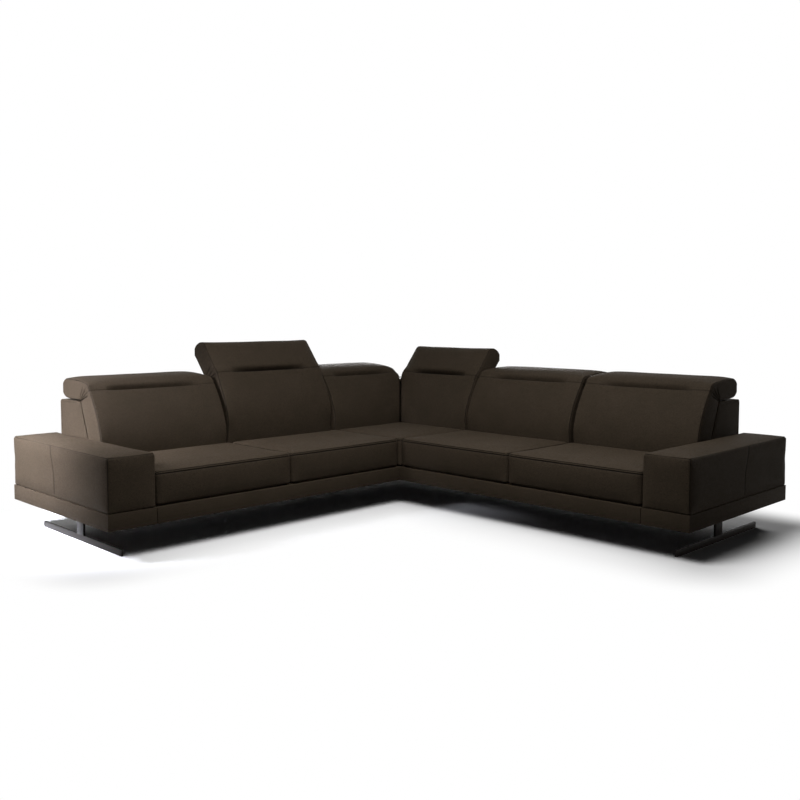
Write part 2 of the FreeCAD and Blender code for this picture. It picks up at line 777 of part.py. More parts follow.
def back_shell(side):
    """The leather-wrapped shell: rear panel, top shelf and a sloping end panel."""
    frame = wing_frame(side)
    base_z = "plinth_top"
    shelf_front = f"{on_lean('shell_top_height')} + (board_rear - shell_front_gap) / sin(lean_angle)"
    panel_start = {"right": "0", "left": "shell_thickness"}
    shelf_start = {"right": "0", "left": shelf_front}
    shelf_z = ("shell_top_height - shell_thickness", "shell_top_height")
    panel = bar(side, panel_start[side], "shell_end", "0", "shell_thickness", base_z, shelf_z[0])
    shelf = bar(side, shelf_start[side], "shell_end", "0", shelf_front, *shelf_z)
    outline = [
        ("0.0", base_z),
        ("0.0", "shell_top_height"),
        (on_lean("shell_top_height"), "shell_top_height"),
        (on_lean("plinth_top"), base_z),
    ]
    end = plate(side, outline, "shell_end - shell_end_thickness", "shell_end")
    keep(f"back_shell_{side}", [joined(panel, shelf, end)], frame)


def ribs_and_sleeves(side):
    """Plywood ribs from plinth to shelf, each with a square steel sleeve on its sloping edge."""
    ribs = []
    sleeves = []
    set_back = "sleeve_rear / sin(lean_angle)"
    rib_top = "shell_top_height - shell_thickness"
    outline = [
        ("shell_thickness", "plinth_top"),
        ("shell_thickness", rib_top),
        (f"{on_lean(rib_top)} + {set_back}", rib_top),
        (f"{on_lean('plinth_top')} + {set_back}", "plinth_top"),
    ]
    half = "sleeve_length / 2"
    for place in ("corner", "middle", "outer"):
        for t in rod_places(place):
            ribs.append(plate(side, outline, f"{t} - rib_thickness / 2", f"{t} + rib_thickness / 2"))
            width = (f"{t} - sleeve_size / 2", f"{t} + sleeve_size / 2")
            body = leaning_bar(side, *width, "sleeve_rear", "sleeve_front", f"-{half}", half)
            bore_s = (f"-{half} - cut_margin", f"{half} + cut_margin")
            bore = leaning_rod(side, t, "rod_centre", "rod_radius + rod_clearance", *bore_s)
            sleeves.append(cut(body, bore))
    return ribs, sleeves


# One backrest with its headrest


def hinge_places(place):
    """Where a headrest's two hinges are along the wing."""
    start, end = span_of(place)
    return [f"({start}) + hinge_end_inset", f"({end}) - hinge_end_inset"]


def backrest(name, side, place, lifted, raised):
    start, end = span_of(place)
    frame = unit_frame(side, lifted)
    mitre = size("mitre_gap") if place == "corner" else None
    draw_length = size("cushion_end_draw") * 2
    cushion = soft_loft("backrest", side, back_wire, size(start), size(end), draw_length, mitre)
    keep(f"back_cushion_{name}", [cushion], frame)

    board_t = (f"({start}) + board_end_inset", f"({end}) - board_end_inset")
    board = leaning_bar(side, *board_t, "board_rear", "cushion_rear_gap", "board_bottom", "board_top")
    keep(f"back_board_{name}", [board], frame)

    rods = []
    for t in rod_places(place):
        rod = leaning_rod(side, t, "rod_centre", "rod_radius", "rod_bottom", "rod_top")
        collar = leaning_rod(
            side, t, "rod_centre", "rod_collar_radius", "rod_bottom", "rod_bottom + rod_collar_length"
        )
        block_t = (f"{t} - rod_block_width / 2", f"{t} + rod_block_width / 2")
        block_n = ("rod_centre - rod_block_set", "board_rear")
        block = leaning_bar(side, *block_t, *block_n, "rod_top - rod_block_length", "rod_top")
        rods.append(joined(rod, collar, block))
    keep(f"lift_rods_{name}", rods, frame)

    hinges(name, side, place, lifted, raised)


def on_board(s):
    """A point of the board's front face, s up along the lean, as (u, z)."""
    n = "cushion_rear_gap"
    return (
        f"lean_zero_depth + {n} * sin(lean_angle) - ({s}) * cos(lean_angle)",
        f"lean_zero_height + {n} * cos(lean_angle) + ({s}) * sin(lean_angle)",
    )


def hinges(name, side, place, lifted, raised):
    """Steel hinge plates on the board, and the headrest with the bar and arms that turn on them."""
    start, end = span_of(place)
    pivot = ("pivot_depth", "pivot_height")
    bases = []
    arms = []
    slots = []
    for t in hinge_places(place):
        outline = [
            on_board("board_top - hinge_foot_length"),
            on_board("board_top"),
            ("pivot_depth - hinge_head_half", "pivot_height + hinge_head_reach"),
            ("pivot_depth + hinge_head_reach", "pivot_height + hinge_head_step"),
            ("pivot_depth + hinge_head_half", "pivot_height - hinge_head_reach"),
        ]
        plate_t = (f"{t} - hinge_plate", t)
        pin = cross_pin(side, t, f"{t} + hinge_plate + 2 * hinge_gap", *pivot, "hinge_pin_radius")
        bases.append(joined(plate(side, outline, *plate_t), pin))

        arm_t = (f"{t} + hinge_gap", f"{t} + hinge_gap + hinge_plate")
        ring = cross_pin(side, *arm_t, *pivot, "hinge_knuckle_radius")
        arm_low = "pivot_height - headrest_arm_width / 2 + headrest_bar_rise"
        arm_high = "pivot_height + headrest_arm_width / 2"
        bar_rear = "(pad_rear_depth + pivot_depth) / 2 - headrest_bar_depth"
        arm = bar(side, *arm_t, f"{bar_rear} + headrest_bar_depth / 2", "pivot_depth", arm_low, arm_high)
        bore = cross_pin(
            side,
            f"{t}",
            f"{t} + hinge_plate + 2 * hinge_gap",
            *pivot,
            "hinge_pin_radius + hinge_pin_clearance",
        )
        arms.append(cut(joined(ring, arm), bore))
        slot_start = f"{t} - hinge_plate - hinge_slot_margin"
        slot_t = (slot_start, f"{t} + hinge_plate + hinge_gap + hinge_slot_margin")
        slot_u = (
            "pivot_depth - pad_nose_radius - hinge_slot_rear",
            "pivot_depth + pad_nose_radius + hinge_slot_front",
        )
        slot_z = (
            "pivot_height - pad_nose_radius - cut_margin",
            "pivot_height + pad_nose_radius - hinge_slot_top",
        )
        slots.append(bar(side, *slot_t, *slot_u, *slot_z))
    keep(f"hinge_bases_{name}", bases, unit_frame(side, lifted))

    first, last = hinge_places(place)
    cross_bar = bar(
        side,
        f"{first} - hinge_plate",
        f"{last} + 2 * hinge_plate",
        bar_rear,
        f"{bar_rear} + headrest_bar_depth",
        "pivot_height - headrest_bar_thickness / 2 + headrest_bar_rise",
        "pivot_height + headrest_bar_thickness / 2 + headrest_bar_rise",
    )
    frame = headrest_frame(side, lifted, raised)
    keep(f"headrest_frame_{name}", [joined(cross_bar, *arms)], frame)
    pad = soft_loft("headrest", side, pad_wire, size(start), size(end), size("pad_end_draw") * 2)
    keep(f"headrest_pad_{name}", [cut(pad, *slots)], frame)


def build():
    plinth()
    deck_and_straps()
    for side in SIDES:
        arm_plinth(side)
        back_shell(side)
    keep_both("arm_frames", {side: arm(side) for side in SIDES})
    keep_both("leg_bolts", {side: sled_leg(side) for side in SIDES})
    inside = {side: ribs_and_sleeves(side) for side in SIDES}
    keep_both("back_ribs", {side: inside[side][0] for side in SIDES})
    keep_both("guide_sleeves", {side: inside[side][1] for side in SIDES})
    support_feet()
    seats()
    for unit in UNITS:
        backrest(*unit)
    doc.recompute()


def check():
    """Stops if any object failed, or a sub-part's shape is missing or not valid."""
    for thing in doc.Objects:
        if "Invalid" in thing.State or "Error" in thing.State:
            raise RuntimeError(f"{thing.Name} could not be built: {thing.State}")
    for part in parts:
        if part.Shape.isNull() or not part.Shape.isValid() or not part.Shape.Solids:
            raise RuntimeError(f"{part.Label} has no valid solid")


def write():
    """One file for each sub-part, named by its label."""
    os.makedirs("parts", exist_ok=True)
    for part in parts:
        part.Shape.exportStep(f"parts/{part.Label}.step")
    print(len(parts), "sub-parts,", sum(len(p.Shape.Solids) for p in parts), "solids")


build()
check()
write()
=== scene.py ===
import itertools
import json
import math

import bmesh
import bpy
import numpy as np
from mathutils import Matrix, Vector


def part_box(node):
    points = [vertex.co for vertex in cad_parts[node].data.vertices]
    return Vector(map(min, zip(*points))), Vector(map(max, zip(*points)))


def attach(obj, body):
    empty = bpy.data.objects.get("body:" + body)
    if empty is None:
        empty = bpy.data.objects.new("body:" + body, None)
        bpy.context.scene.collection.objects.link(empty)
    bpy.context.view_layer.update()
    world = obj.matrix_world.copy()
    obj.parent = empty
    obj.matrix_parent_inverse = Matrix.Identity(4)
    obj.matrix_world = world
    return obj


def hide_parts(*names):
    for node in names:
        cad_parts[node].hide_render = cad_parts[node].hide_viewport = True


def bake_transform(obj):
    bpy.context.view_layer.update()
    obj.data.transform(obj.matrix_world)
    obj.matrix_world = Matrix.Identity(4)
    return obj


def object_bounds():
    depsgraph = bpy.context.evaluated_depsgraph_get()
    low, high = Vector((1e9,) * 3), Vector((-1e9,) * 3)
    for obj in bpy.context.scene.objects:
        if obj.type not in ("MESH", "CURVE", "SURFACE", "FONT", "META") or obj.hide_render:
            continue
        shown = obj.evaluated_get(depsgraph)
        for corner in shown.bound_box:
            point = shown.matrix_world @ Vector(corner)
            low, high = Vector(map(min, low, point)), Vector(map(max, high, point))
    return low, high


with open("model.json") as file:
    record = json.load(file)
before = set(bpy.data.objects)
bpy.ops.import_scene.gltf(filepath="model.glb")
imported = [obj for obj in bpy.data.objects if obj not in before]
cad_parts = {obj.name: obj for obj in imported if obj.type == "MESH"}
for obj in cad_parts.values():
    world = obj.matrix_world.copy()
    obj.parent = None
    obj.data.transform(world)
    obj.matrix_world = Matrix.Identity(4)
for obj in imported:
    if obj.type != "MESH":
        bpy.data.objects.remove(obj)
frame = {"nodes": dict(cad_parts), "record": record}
cad_low, cad_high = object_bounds()
scene = bpy.context.scene

# Wing places are in millimetres: along the wing from the outer back corner, deep from the back, and high
# from the floor
MM = 0.001
HALF_SPAN = cad_high.x
SIDES = ("right", "left")
UNITS = ("corner", "middle", "outer")
RAISED = ("right_corner", "left_middle")
LIFTED = ("left_middle",)


def to_sofa(side, places):
    """Wing places as points of the sofa's own frame, in metres."""
    along, deep, high = (np.asarray(places, float) * MM).T
    if side == "right":
        return np.stack([along - HALF_SPAN, HALF_SPAN - deep, high], axis=1)
    return np.stack([deep - HALF_SPAN, HALF_SPAN - along, high], axis=1)


def point(side, along, deep, high):
    return Vector(to_sofa(side, [(along, deep, high)])[0])


def reach(side, node):
    """The wing places between which a node lies: along, deep and high."""
    low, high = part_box(node)
    if side == "right":
        along = (low.x + HALF_SPAN, high.x + HALF_SPAN)
        deep = (HALF_SPAN - high.y, HALF_SPAN - low.y)
    else:
        along = (HALF_SPAN - high.y, HALF_SPAN - low.y)
        deep = (low.x + HALF_SPAN, high.x + HALF_SPAN)
    return [(a / MM, b / MM) for a, b in (along, deep, (low.z, high.z))]


def ease(value, low, high):
    """0 below low, 1 above high and an even curve between them."""
    share = np.clip((value - low) / (high - low), 0, 1)
    return share * share * (3 - 2 * share)


def crease(distance, width):
    """1 on a line, falling off to nothing about two widths away."""
    return np.exp(-((distance / width) ** 2))


# Materials


def linear(colour):
    """An sRGB hex colour as the linear values that shaders take."""
    channels = [int(colour[i : i + 2], 16) / 255 for i in (1, 3, 5)]
    return [c / 12.92 if c <= 0.04045 else ((c + 0.055) / 1.055) ** 2.4 for c in channels] + [1]


def add_node(owner, kind, links=(), inputs=(), stops=(), **settings):
    """Adds a shader node with its settings and links.

    Links are (other node, its output, input), inputs are (number, value), stops are a colour ramp's
    (place, hex colour), and the settings are properties of the node, or inputs by their names.
    """
    tree = owner.node_tree
    node = tree.nodes.new(kind)
    for name, value in settings.items():
        if hasattr(node, name):
            setattr(node, name, value)
        else:
            node.inputs[name.replace("_", " ")].default_value = value
    for number, value in inputs:
        node.inputs[number].default_value = value
    for source, output, name in links:
        tree.links.new(source.outputs[output], node.inputs[name])
    if stops:
        band = node.color_ramp.elements
        while len(band) < len(stops):
            band.new(1)
        for element, (place, colour) in zip(band, stops):
            element.position = place
            element.color = linear(colour)
    return node


def cleared(owner):
    """A material or world with an empty node tree."""
    owner.use_nodes = True
    owner.node_tree.nodes.clear()
    return owner


def new_material(name):
    return cleared(bpy.data.materials.new(name))


def close_material(material, shader):
    add_node(material, "ShaderNodeOutputMaterial", [(shader, 0, "Surface")])
    return material


def per_metre(size_mm):
    """A texture's scale for one repeat in so many millimetres."""
    return 1 / (size_mm * MM)


FIRST_COLOUR = 6  # a mix node's sockets for two colours, and the one for their mixture
SECOND_COLOUR = 7
MIXED = 2


# Dark brown corrected-grain cowhide, drum-dyed and pressed with a pebble grain, under a thin satin finish.
# The eye sees a soft sheen that breaks up over small pebbles, a slightly uneven hide, and creases darkened
# with painted shade.
LEATHER_BROWN = "#40372D"
LEATHER_LIGHT = "#433A30"
LEATHER_DARK = "#3C342A"
# painted shade for the creases between pebbles
PEBBLE_CREASE_SHADE = "#29231C"
SEAM_SHADE = "#0F0C0A"  # painted shade down in seams, slot hollows and pleat folds, partly the dark thread of the seams
PEBBLE = 3.2  # real pebbles are about 1 mm, too fine to show, so they are drawn three times as coarse
HIDE_PATCH = 160  # cloudiness of the dye over a hide
GRAIN_SWELL = 11  # loose and tight stretches of grain
CREASE_SHARE = 0.22  # how far from its edge a pebble has its full colour and height
HIDE_ROUGHNESS = (0.6, 0.74)


def leather(name, on_cushions):
    """The hide. On cushions its grain follows the cut leather, and painted shade darkens the valleys of its
    seams, slots and pleats.
    """
    material = new_material(name)
    if on_cushions:
        place = (add_node(material, "ShaderNodeAttribute", attribute_name="cut_place"), "Vector")
    else:
        place = (add_node(material, "ShaderNodeTexCoord"), "Object")
    at = [(*place, "Vector")]
    cloud = add_node(material, "ShaderNodeTexNoise", at, Scale=per_metre(HIDE_PATCH), Detail=3.0)
    swell = add_node(material, "ShaderNodeTexNoise", at, Scale=per_metre(GRAIN_SWELL), Detail=2.0)
    fine = add_node(material, "ShaderNodeTexNoise", at, Scale=per_metre(PEBBLE / 3), Detail=2.0)
    pebble = add_node(
        material,
        "ShaderNodeTexVoronoi",
        at,
        feature="DISTANCE_TO_EDGE",
        Scale=per_metre(PEBBLE),
        Randomness=0.9,
    )
    crest = add_node(
        material, "ShaderNodeMapRange", [(pebble, "Distance", "Value")], From_Max=CREASE_SHARE
    )
    dye = add_node(
        material,
        "ShaderNodeValToRGB",
        [(cloud, "Fac", "Fac")],
        stops=[(0.3, LEATHER_DARK), (0.5, LEATHER_BROWN), (0.72, LEATHER_LIGHT)],
    )
    # painted shade: each pebble darkens towards its creased edge
    shade = add_node(
        material,
        "ShaderNodeMix",
        [(crest, 0, "Factor"), (dye, 0, SECOND_COLOUR)],
        [(FIRST_COLOUR, linear(PEBBLE_CREASE_SHADE))],
        data_type="RGBA",
    )
    if on_cushions:
        # painted shade in seams, slot hollows and pleat folds, read from the cushion's point attribute
        seam = add_node(material, "ShaderNodeAttribute", attribute_name="painted_seam_shade")
        shade = add_node(
            material,
            "ShaderNodeMix",
            [(seam, "Fac", "Factor"), (shade, MIXED, FIRST_COLOUR)],
            [(SECOND_COLOUR, linear(SEAM_SHADE))],
            data_type="RGBA",
        )
    mottle = add_node(
        material,
        "ShaderNodeMapRange",
        [(swell, "Fac", "Value")],
        From_Min=0.3,
        From_Max=0.7,
        To_Min=HIDE_ROUGHNESS[0],
        To_Max=HIDE_ROUGHNESS[1],
    )
    bump = add_node(
        material, "ShaderNodeBump", [(swell, "Fac", "Height")], Strength=0.35, Distance=1.6 * MM
    )
    for height, output, strength, distance in ((crest, 0, 0.5, 0.5), (fine, "Fac", 0.3, 0.3)):
        bump = add_node(
            material,
            "ShaderNodeBump",
            [(height, output, "Height"), (bump, 0, "Normal")],
            Strength=strength,
            Distance=distance * MM,
        )
    skin = add_node(
        material,
        "ShaderNodeBsdfPrincipled",
        [(shade, MIXED, "Base Color"), (mottle, 0, "Roughness"), (bump, 0, "Normal")],
        Specular_IOR_Level=0.03,
    )
    return close_material(material, skin)


# Powder-coated flat steel bar: a dark bronze skin with a faint orange peel and a satin shine on its edges.
COAT_BRONZE = "#26211D"
COAT_SHADE = "#1F1B18"
ORANGE_PEEL = 2.5


def powder_coat(name):
    material = new_material(name)
    place = add_node(material, "ShaderNodeTexCoord")
    at = [(place, "Object", "Vector")]
    peel = add_node(material, "ShaderNodeTexNoise", at, Scale=per_metre(ORANGE_PEEL), Detail=2.0)
    stops = [(0.3, COAT_SHADE), (0.7, COAT_BRONZE)]
    tone = add_node(material, "ShaderNodeValToRGB", [(peel, "Fac", "Fac")], stops=stops)
    bump = add_node(material, "ShaderNodeBump", [(peel, "Fac", "Height")], Strength=0.25, Distance=0.2 * MM)
    skin = add_node(
        material,
        "ShaderNodeBsdfPrincipled",
        [(tone, 0, "Base Color"), (bump, 0, "Normal")],
        Roughness=0.5,
        Specular_IOR_Level=0.12,
    )
    return close_material(material, skin)


# Birch plywood and beech boards, sawn and left raw: pale yellow wood with long streaks of darker grain.
GRAIN_WIDTH = 9
PORE = 1.2
GRAIN_STRETCH = (0.06, 0.06, 1)


def sawn_wood(name):
    material = new_material(name)
    place = add_node(material, "ShaderNodeTexCoord")
    stretch = add_node(material, "ShaderNodeMapping", [(place, "Object", "Vector")], Scale=GRAIN_STRETCH)
    at = [(stretch, 0, "Vector")]
    streak = add_node(
        material, "ShaderNodeTexNoise", at, Scale=per_metre(GRAIN_WIDTH), Detail=5.0, Distortion=0.6
    )
    pores = add_node(material, "ShaderNodeTexNoise", at, Scale=per_metre(PORE), Detail=1.0)
    stops = [(0.3, "#A27C50"), (0.5, "#C7A473"), (0.7, "#D6B88A")]
    tone = add_node(material, "ShaderNodeValToRGB", [(streak, "Fac", "Fac")], stops=stops)
    bump = add_node(material, "ShaderNodeBump", [(pores, "Fac", "Height")], Strength=0.3, Distance=0.3 * MM)
    skin = add_node(
        material, "ShaderNodeBsdfPrincipled", [(tone, 0, "Base Color"), (bump, 0, "Normal")], Roughness=0.66
    )
    return close_material(material, skin)


# Woven elastic webbing of rubber cords and polyester yarn: flat black ribs crossed by a fine weft.
WEB_RIB = 5
WAVE_BAND = 1 / math.pi  # about the width in metres of a wave texture's band at scale 1


def webbing(name):
    material = new_material(name)
    place = add_node(material, "ShaderNodeTexCoord")
    at = [(place, "Object", "Vector")]
    scale = per_metre(WEB_RIB) * WAVE_BAND
    warp = add_node(material, "ShaderNodeTexWave", at, bands_direction="X", Scale=scale)
    weft = add_node(material, "ShaderNodeTexWave", at, bands_direction="Y", Scale=scale)
    cross = add_node(
        material, "ShaderNodeMath", [(warp, "Fac", 0), (weft, "Fac", 1)], operation="MULTIPLY"
    )
    stops = [(0.0, "#16161A"), (1.0, "#34343A")]
    tone = add_node(material, "ShaderNodeValToRGB", [(cross, 0, "Fac")], stops=stops)
    bump = add_node(material, "ShaderNodeBump", [(cross, 0, "Height")], Strength=0.6, Distance=0.6 * MM)
    skin = add_node(
        material, "ShaderNodeBsdfPrincipled", [(tone, 0, "Base Color"), (bump, 0, "Normal")], Roughness=0.85
    )
    return close_material(material, skin)


# Spun-bonded polypropylene dust cloth: a thin black felt, whose pressed dots and loose fibres catch light.
FELT_DOT = 2
FELT_CLOUD = 30


def dust_cloth(name):
    material = new_material(name)
    place = add_node(material, "ShaderNodeTexCoord")
    at = [(place, "Object", "Vector")]
    dots = add_node(material, "ShaderNodeTexVoronoi", at, Scale=per_metre(FELT_DOT), Randomness=0.2)
    cloud = add_node(material, "ShaderNodeTexNoise", at, Scale=per_metre(FELT_CLOUD), Detail=4.0)
    stops = [(0.3, "#141416"), (0.7, "#242427")]
    tone = add_node(material, "ShaderNodeValToRGB", [(cloud, "Fac", "Fac")], stops=stops)
    bump = add_node(
        material, "ShaderNodeBump", [(dots, "Distance", "Height")], Strength=0.4, Distance=0.4 * MM
    )
    skin = add_node(
        material, "ShaderNodeBsdfPrincipled", [(tone, 0, "Base Color"), (bump, 0, "Normal")], Roughness=0.9
    )
    return close_material(material, skin)


# Zinc-plated steel, cold drawn and plated bright: a cool grey metal with cloudy spangle and a soft shine.
SPANGLE = 14


def zinc_plate(name):
    material = new_material(name)
    place = add_node(material, "ShaderNodeTexCoord")
    at = [(place, "Object", "Vector")]
    spangle = add_node(material, "ShaderNodeTexNoise", at, Scale=per_metre(SPANGLE), Detail=3.0)
    stops = [(0.3, "#8E9093"), (0.7, "#B4B6B8")]
    tone = add_node(material, "ShaderNodeValToRGB", [(spangle, "Fac", "Fac")], stops=stops)
    gloss = add_node(
        material, "ShaderNodeMapRange", [(spangle, "Fac", "Value")], To_Min=0.28, To_Max=0.48
    )
    links = [(tone, 0, "Base Color"), (gloss, 0, "Roughness")]
    skin = add_node(material, "ShaderNodeBsdfPrincipled", links, Metallic=1.0)
    return close_material(material, skin)


# Moulded black polypropylene foot: spark-eroded mould texture that leaves a fine matt stipple.
STIPPLE = 1.5


def moulded_plastic(name):
    material = new_material(name)
    place = add_node(material, "ShaderNodeTexCoord")
    at = [(place, "Object", "Vector")]
    stipple = add_node(material, "ShaderNodeTexNoise", at, Scale=per_metre(STIPPLE), Detail=2.0)
    stops = [(0.35, "#121212"), (0.65, "#1C1C1C")]
    tone = add_node(material, "ShaderNodeValToRGB", [(stipple, "Fac", "Fac")], stops=stops)
    bump = add_node(
        material, "ShaderNodeBump", [(stipple, "Fac", "Height")], Strength=0.4, Distance=0.2 * MM
    )
    skin = add_node(
        material, "ShaderNodeBsdfPrincipled", [(tone, 0, "Base Color"), (bump, 0, "Normal")], Roughness=0.55
    )
    return close_material(material, skin)


FINISHES = {
    "leather": leather("cowhide_on_frame", on_cushions=False),
    "cushion_leather": leather("cowhide_on_cushions", on_cushions=True),
    "timber": sawn_wood("birch_plywood"),
    "webbing": webbing("elastic_webbing"),
    "dust_cloth": dust_cloth("spun_bonded_felt"),
    "leg_metal": powder_coat("bronze_powder_coat"),
    "steel": zinc_plate("zinc_plated_steel"),
    "foot_plastic": moulded_plastic("moulded_polypropylene"),
}


def finish_cad_nodes():
    for row in frame["record"]["subparts"]:
        node = frame["nodes"][row["node"]]
        node.data.materials.clear()
        node.data.materials.append(FINISHES[row["material_slot"]])


# Padded pieces: a net of four-cornered faces over a box, rounded, put in place, swollen as cloth and sewn

EDGE_SHARES = np.array([0, 0.22, 0.45, 0.7, 1])  # where the rows lie across a rounded edge
SWELL_FRAMES = 20
SWELL_PRESSURE = 4.0
SMOOTH_LEVELS = 2
LEVEL = 1e6  # a ripple's length where it stays the same in that direction
TINY = 1e-9
swelling = []


def rows(length, rounds, pitch, zones=()):
    """Where a net's rows lie along a side: close in its rounded ends and in zones of (from, to, step)."""
    first, last = rounds
    count = max(1, round((length - first - last) / pitch))
    middle = np.linspace(first, length - last, count + 1)[1:-1]
    places = np.concatenate([first * EDGE_SHARES, middle, length - last * EDGE_SHARES[::-1]])
    for low, high, step in zones:
        outside = places[(places < low - step / 2) | (places > high + step / 2)]
        inside = np.linspace(low, high, int(round((high - low) / step)) + 1)
        places = np.sort(np.concatenate([outside, inside]))
    return places


def box_net(sides):
    """The cut places of a net over a box with these rows along its three sides, and the net's faces."""
    counts = [len(side) for side in sides]
    spots = {}
    for cell in itertools.product(*(range(n) for n in counts)):
        if any(c in (0, n - 1) for c, n in zip(cell, counts)):
            spots[cell] = len(spots)
    cut = np.array([[side[c] for side, c in zip(sides, cell)] for cell in spots])
    faces = []
    for axis in range(3):
        across = [i for i in range(3) if i != axis]
        for end in (0, counts[axis] - 1):
            for i, j in itertools.product(*(range(counts[a] - 1) for a in across)):
                ring = []
                for step_i, step_j in ((0, 0), (1, 0), (1, 1), (0, 1)):
                    cell = [end] * 3
                    cell[across[0]] = i + step_i
                    cell[across[1]] = j + step_j
                    ring.append(spots[tuple(cell)])
                faces.append(ring)
    return cut, faces


def rounded(cut, size, low_round, high_round):
    """The cut places moved so that the box's edges and corners are round."""
    low_round = np.broadcast_to(low_round, cut.shape)
    high_round = np.broadcast_to(high_round, cut.shape)
    inner = np.clip(cut, low_round, np.asarray(size) - high_round)
    out = cut - inner
    share = out / np.where(out < 0, low_round, high_round)
    away = np.maximum(np.linalg.norm(share, axis=1, keepdims=True), 1)
    return inner + out / away


def new_skin(name, points, faces):
    """A closed skin from points in metres, with its faces turned outwards."""
    mesh = bpy.data.meshes.new(name)
    mesh.from_pydata(points.tolist(), [], faces)
    shell = bmesh.new()
    shell.from_mesh(mesh)
    bmesh.ops.recalc_face_normals(shell, faces=shell.faces[:])
    shell.to_mesh(mesh)
    shell.free()
    piece = bpy.data.objects.new(name, mesh)
    scene.collection.objects.link(piece)
    return piece


def read_points(mesh):
    flat = np.empty(len(mesh.vertices) * 3)
    mesh.vertices.foreach_get("co", flat)
    return flat.reshape(-1, 3)


def write_points(mesh, points):
    mesh.vertices.foreach_set("co", points.ravel())
    mesh.update()


def new_pad(name, cut, faces, points, held, proud):
    """A pad's net. Held points stay put while it swells, and proud says how far each may rise."""
    piece = new_skin(name, points, faces)
    place = piece.data.attributes.new("cut_place", "FLOAT_VECTOR", "POINT")
    place.data.foreach_set("vector", (cut * MM).ravel())
    pins = piece.vertex_groups.new(name="sewn_down")
    pins.add(np.flatnonzero(held).tolist(), 1.0, "REPLACE")
    swelling.append((piece, points, held, np.where(held, 0, proud)))
    return piece


def swell_by_cloth():
    """Blows all the pads up together as cloth, and gives where their points come to."""
    for piece, *_ in swelling:
        cloth = piece.modifiers.new("swell", "CLOTH")
        cloth.settings.use_pressure = True
        cloth.settings.uniform_pressure_force = SWELL_PRESSURE
        cloth.settings.effector_weights.gravity = 0
        cloth.settings.vertex_group_mass = "sewn_down"
    for number in range(1, SWELL_FRAMES + 1):
        scene.frame_set(number)
    graph = bpy.context.evaluated_depsgraph_get()
    blown = []
    for piece, *_ in swelling:
        blown.append(read_points(piece.evaluated_get(graph).data))
    for piece, *_ in swelling:
        piece.modifiers.clear()
    scene.frame_set(1)
    return blown


def swell_pads():
    """Moves each point towards where it swells to, and no further than it may rise."""
    blown = swell_by_cloth()
    for (piece, points, _, proud), moved in zip(swelling, blown):
        move = moved - points
        length = np.maximum(np.linalg.norm(move, axis=1), TINY)
        cap = proud * MM
        kept = np.where(cap > 0, cap * np.tanh(length / np.maximum(cap, TINY)), 0)
        write_points(piece.data, points + move * (kept / length)[:, None])


def sew(piece, relief):
    """Rounds the net off and presses its seams in: relief gives millimetres outward and the painted shade
    of its seams.
    """
    smooth = piece.modifiers.new("smooth", "SUBSURF")
    smooth.levels = SMOOTH_LEVELS
    smooth.render_levels = SMOOTH_LEVELS
    select_only(piece)
    bpy.ops.object.modifier_apply(modifier=smooth.name)
    mesh = piece.data
    points = read_points(mesh)
    normals = np.empty(points.size)
    mesh.vertices.foreach_get("normal", normals)
    cut = np.empty(points.size)
    mesh.attributes["cut_place"].data.foreach_get("vector", cut)
    out, painted_shade = relief(cut.reshape(-1, 3) / MM)
    write_points(mesh, points + normals.reshape(-1, 3) * out[:, None] * MM)
    # the painted shade of the seams, kept on the points for the leather to darken with
    depth = mesh.attributes.new("painted_seam_shade", "FLOAT", "POINT")
    depth.data.foreach_set("value", np.clip(painted_shade, 0, 1))
    piece.vertex_groups.clear()
    mesh.shade_smooth()
    mesh.materials.append(FINISHES["cushion_leather"])


def select_only(*pieces):
    if bpy.context.mode != "OBJECT":
        bpy.ops.object.mode_set(mode="OBJECT")
    bpy.ops.object.select_all(action="DESELECT")
    for piece in pieces:
        piece.select_set(True)
    bpy.context.view_layer.objects.active = pieces[0]


def ripple(cut, wave, shift):
    """Gentle unevenness of stuffed leather, between -1 and 1."""
    x, y, z = (cut / wave).T * 2 * math.pi
    a = np.sin(x + 1.7 * np.sin(0.6 * y + shift) + shift)
    b = np.sin(y + 1.3 * np.sin(0.7 * x - shift) + 2 * shift)
    c = np.sin(z + 1.1 * np.sin(0.5 * (x + y)) + 3 * shift)
    return (a + b + c) / 3


# Seat cushions

SEAT_EDGE = 26
SEAT_HEEL = 15
SEAT_PITCH = 30
SEAT_RISE = 12
FRONT_RISE = 6
SEAT_TOP = 396
SEAT_SHORT = 5  # the net ends this far behind the front that it swells out to
SEAM_ROWS = (-4, -18)  # the two rows of the top-stitched seam, counted down the sides from the top's edge
SEAM_DEPTH = 3.4
SEAM_WIDTH = 2.7
SEAM_START = (10, 60)  # the seam and its puckers come in between these depths
BAND_RISE = 1.4  # the hide stands proud between the rows
BAND_WIDTH = 5
SEAT_PUCKER = (34, 31, LEVEL)
SEAT_WAVE = 290
SEATS = {
    "seat_cushion_corner": "right",
    "seat_cushion_right_inner": "right",
    "seat_cushion_right_outer": "right",
    "seat_cushion_left_inner": "left",
    "seat_cushion_left_outer": "left",
}


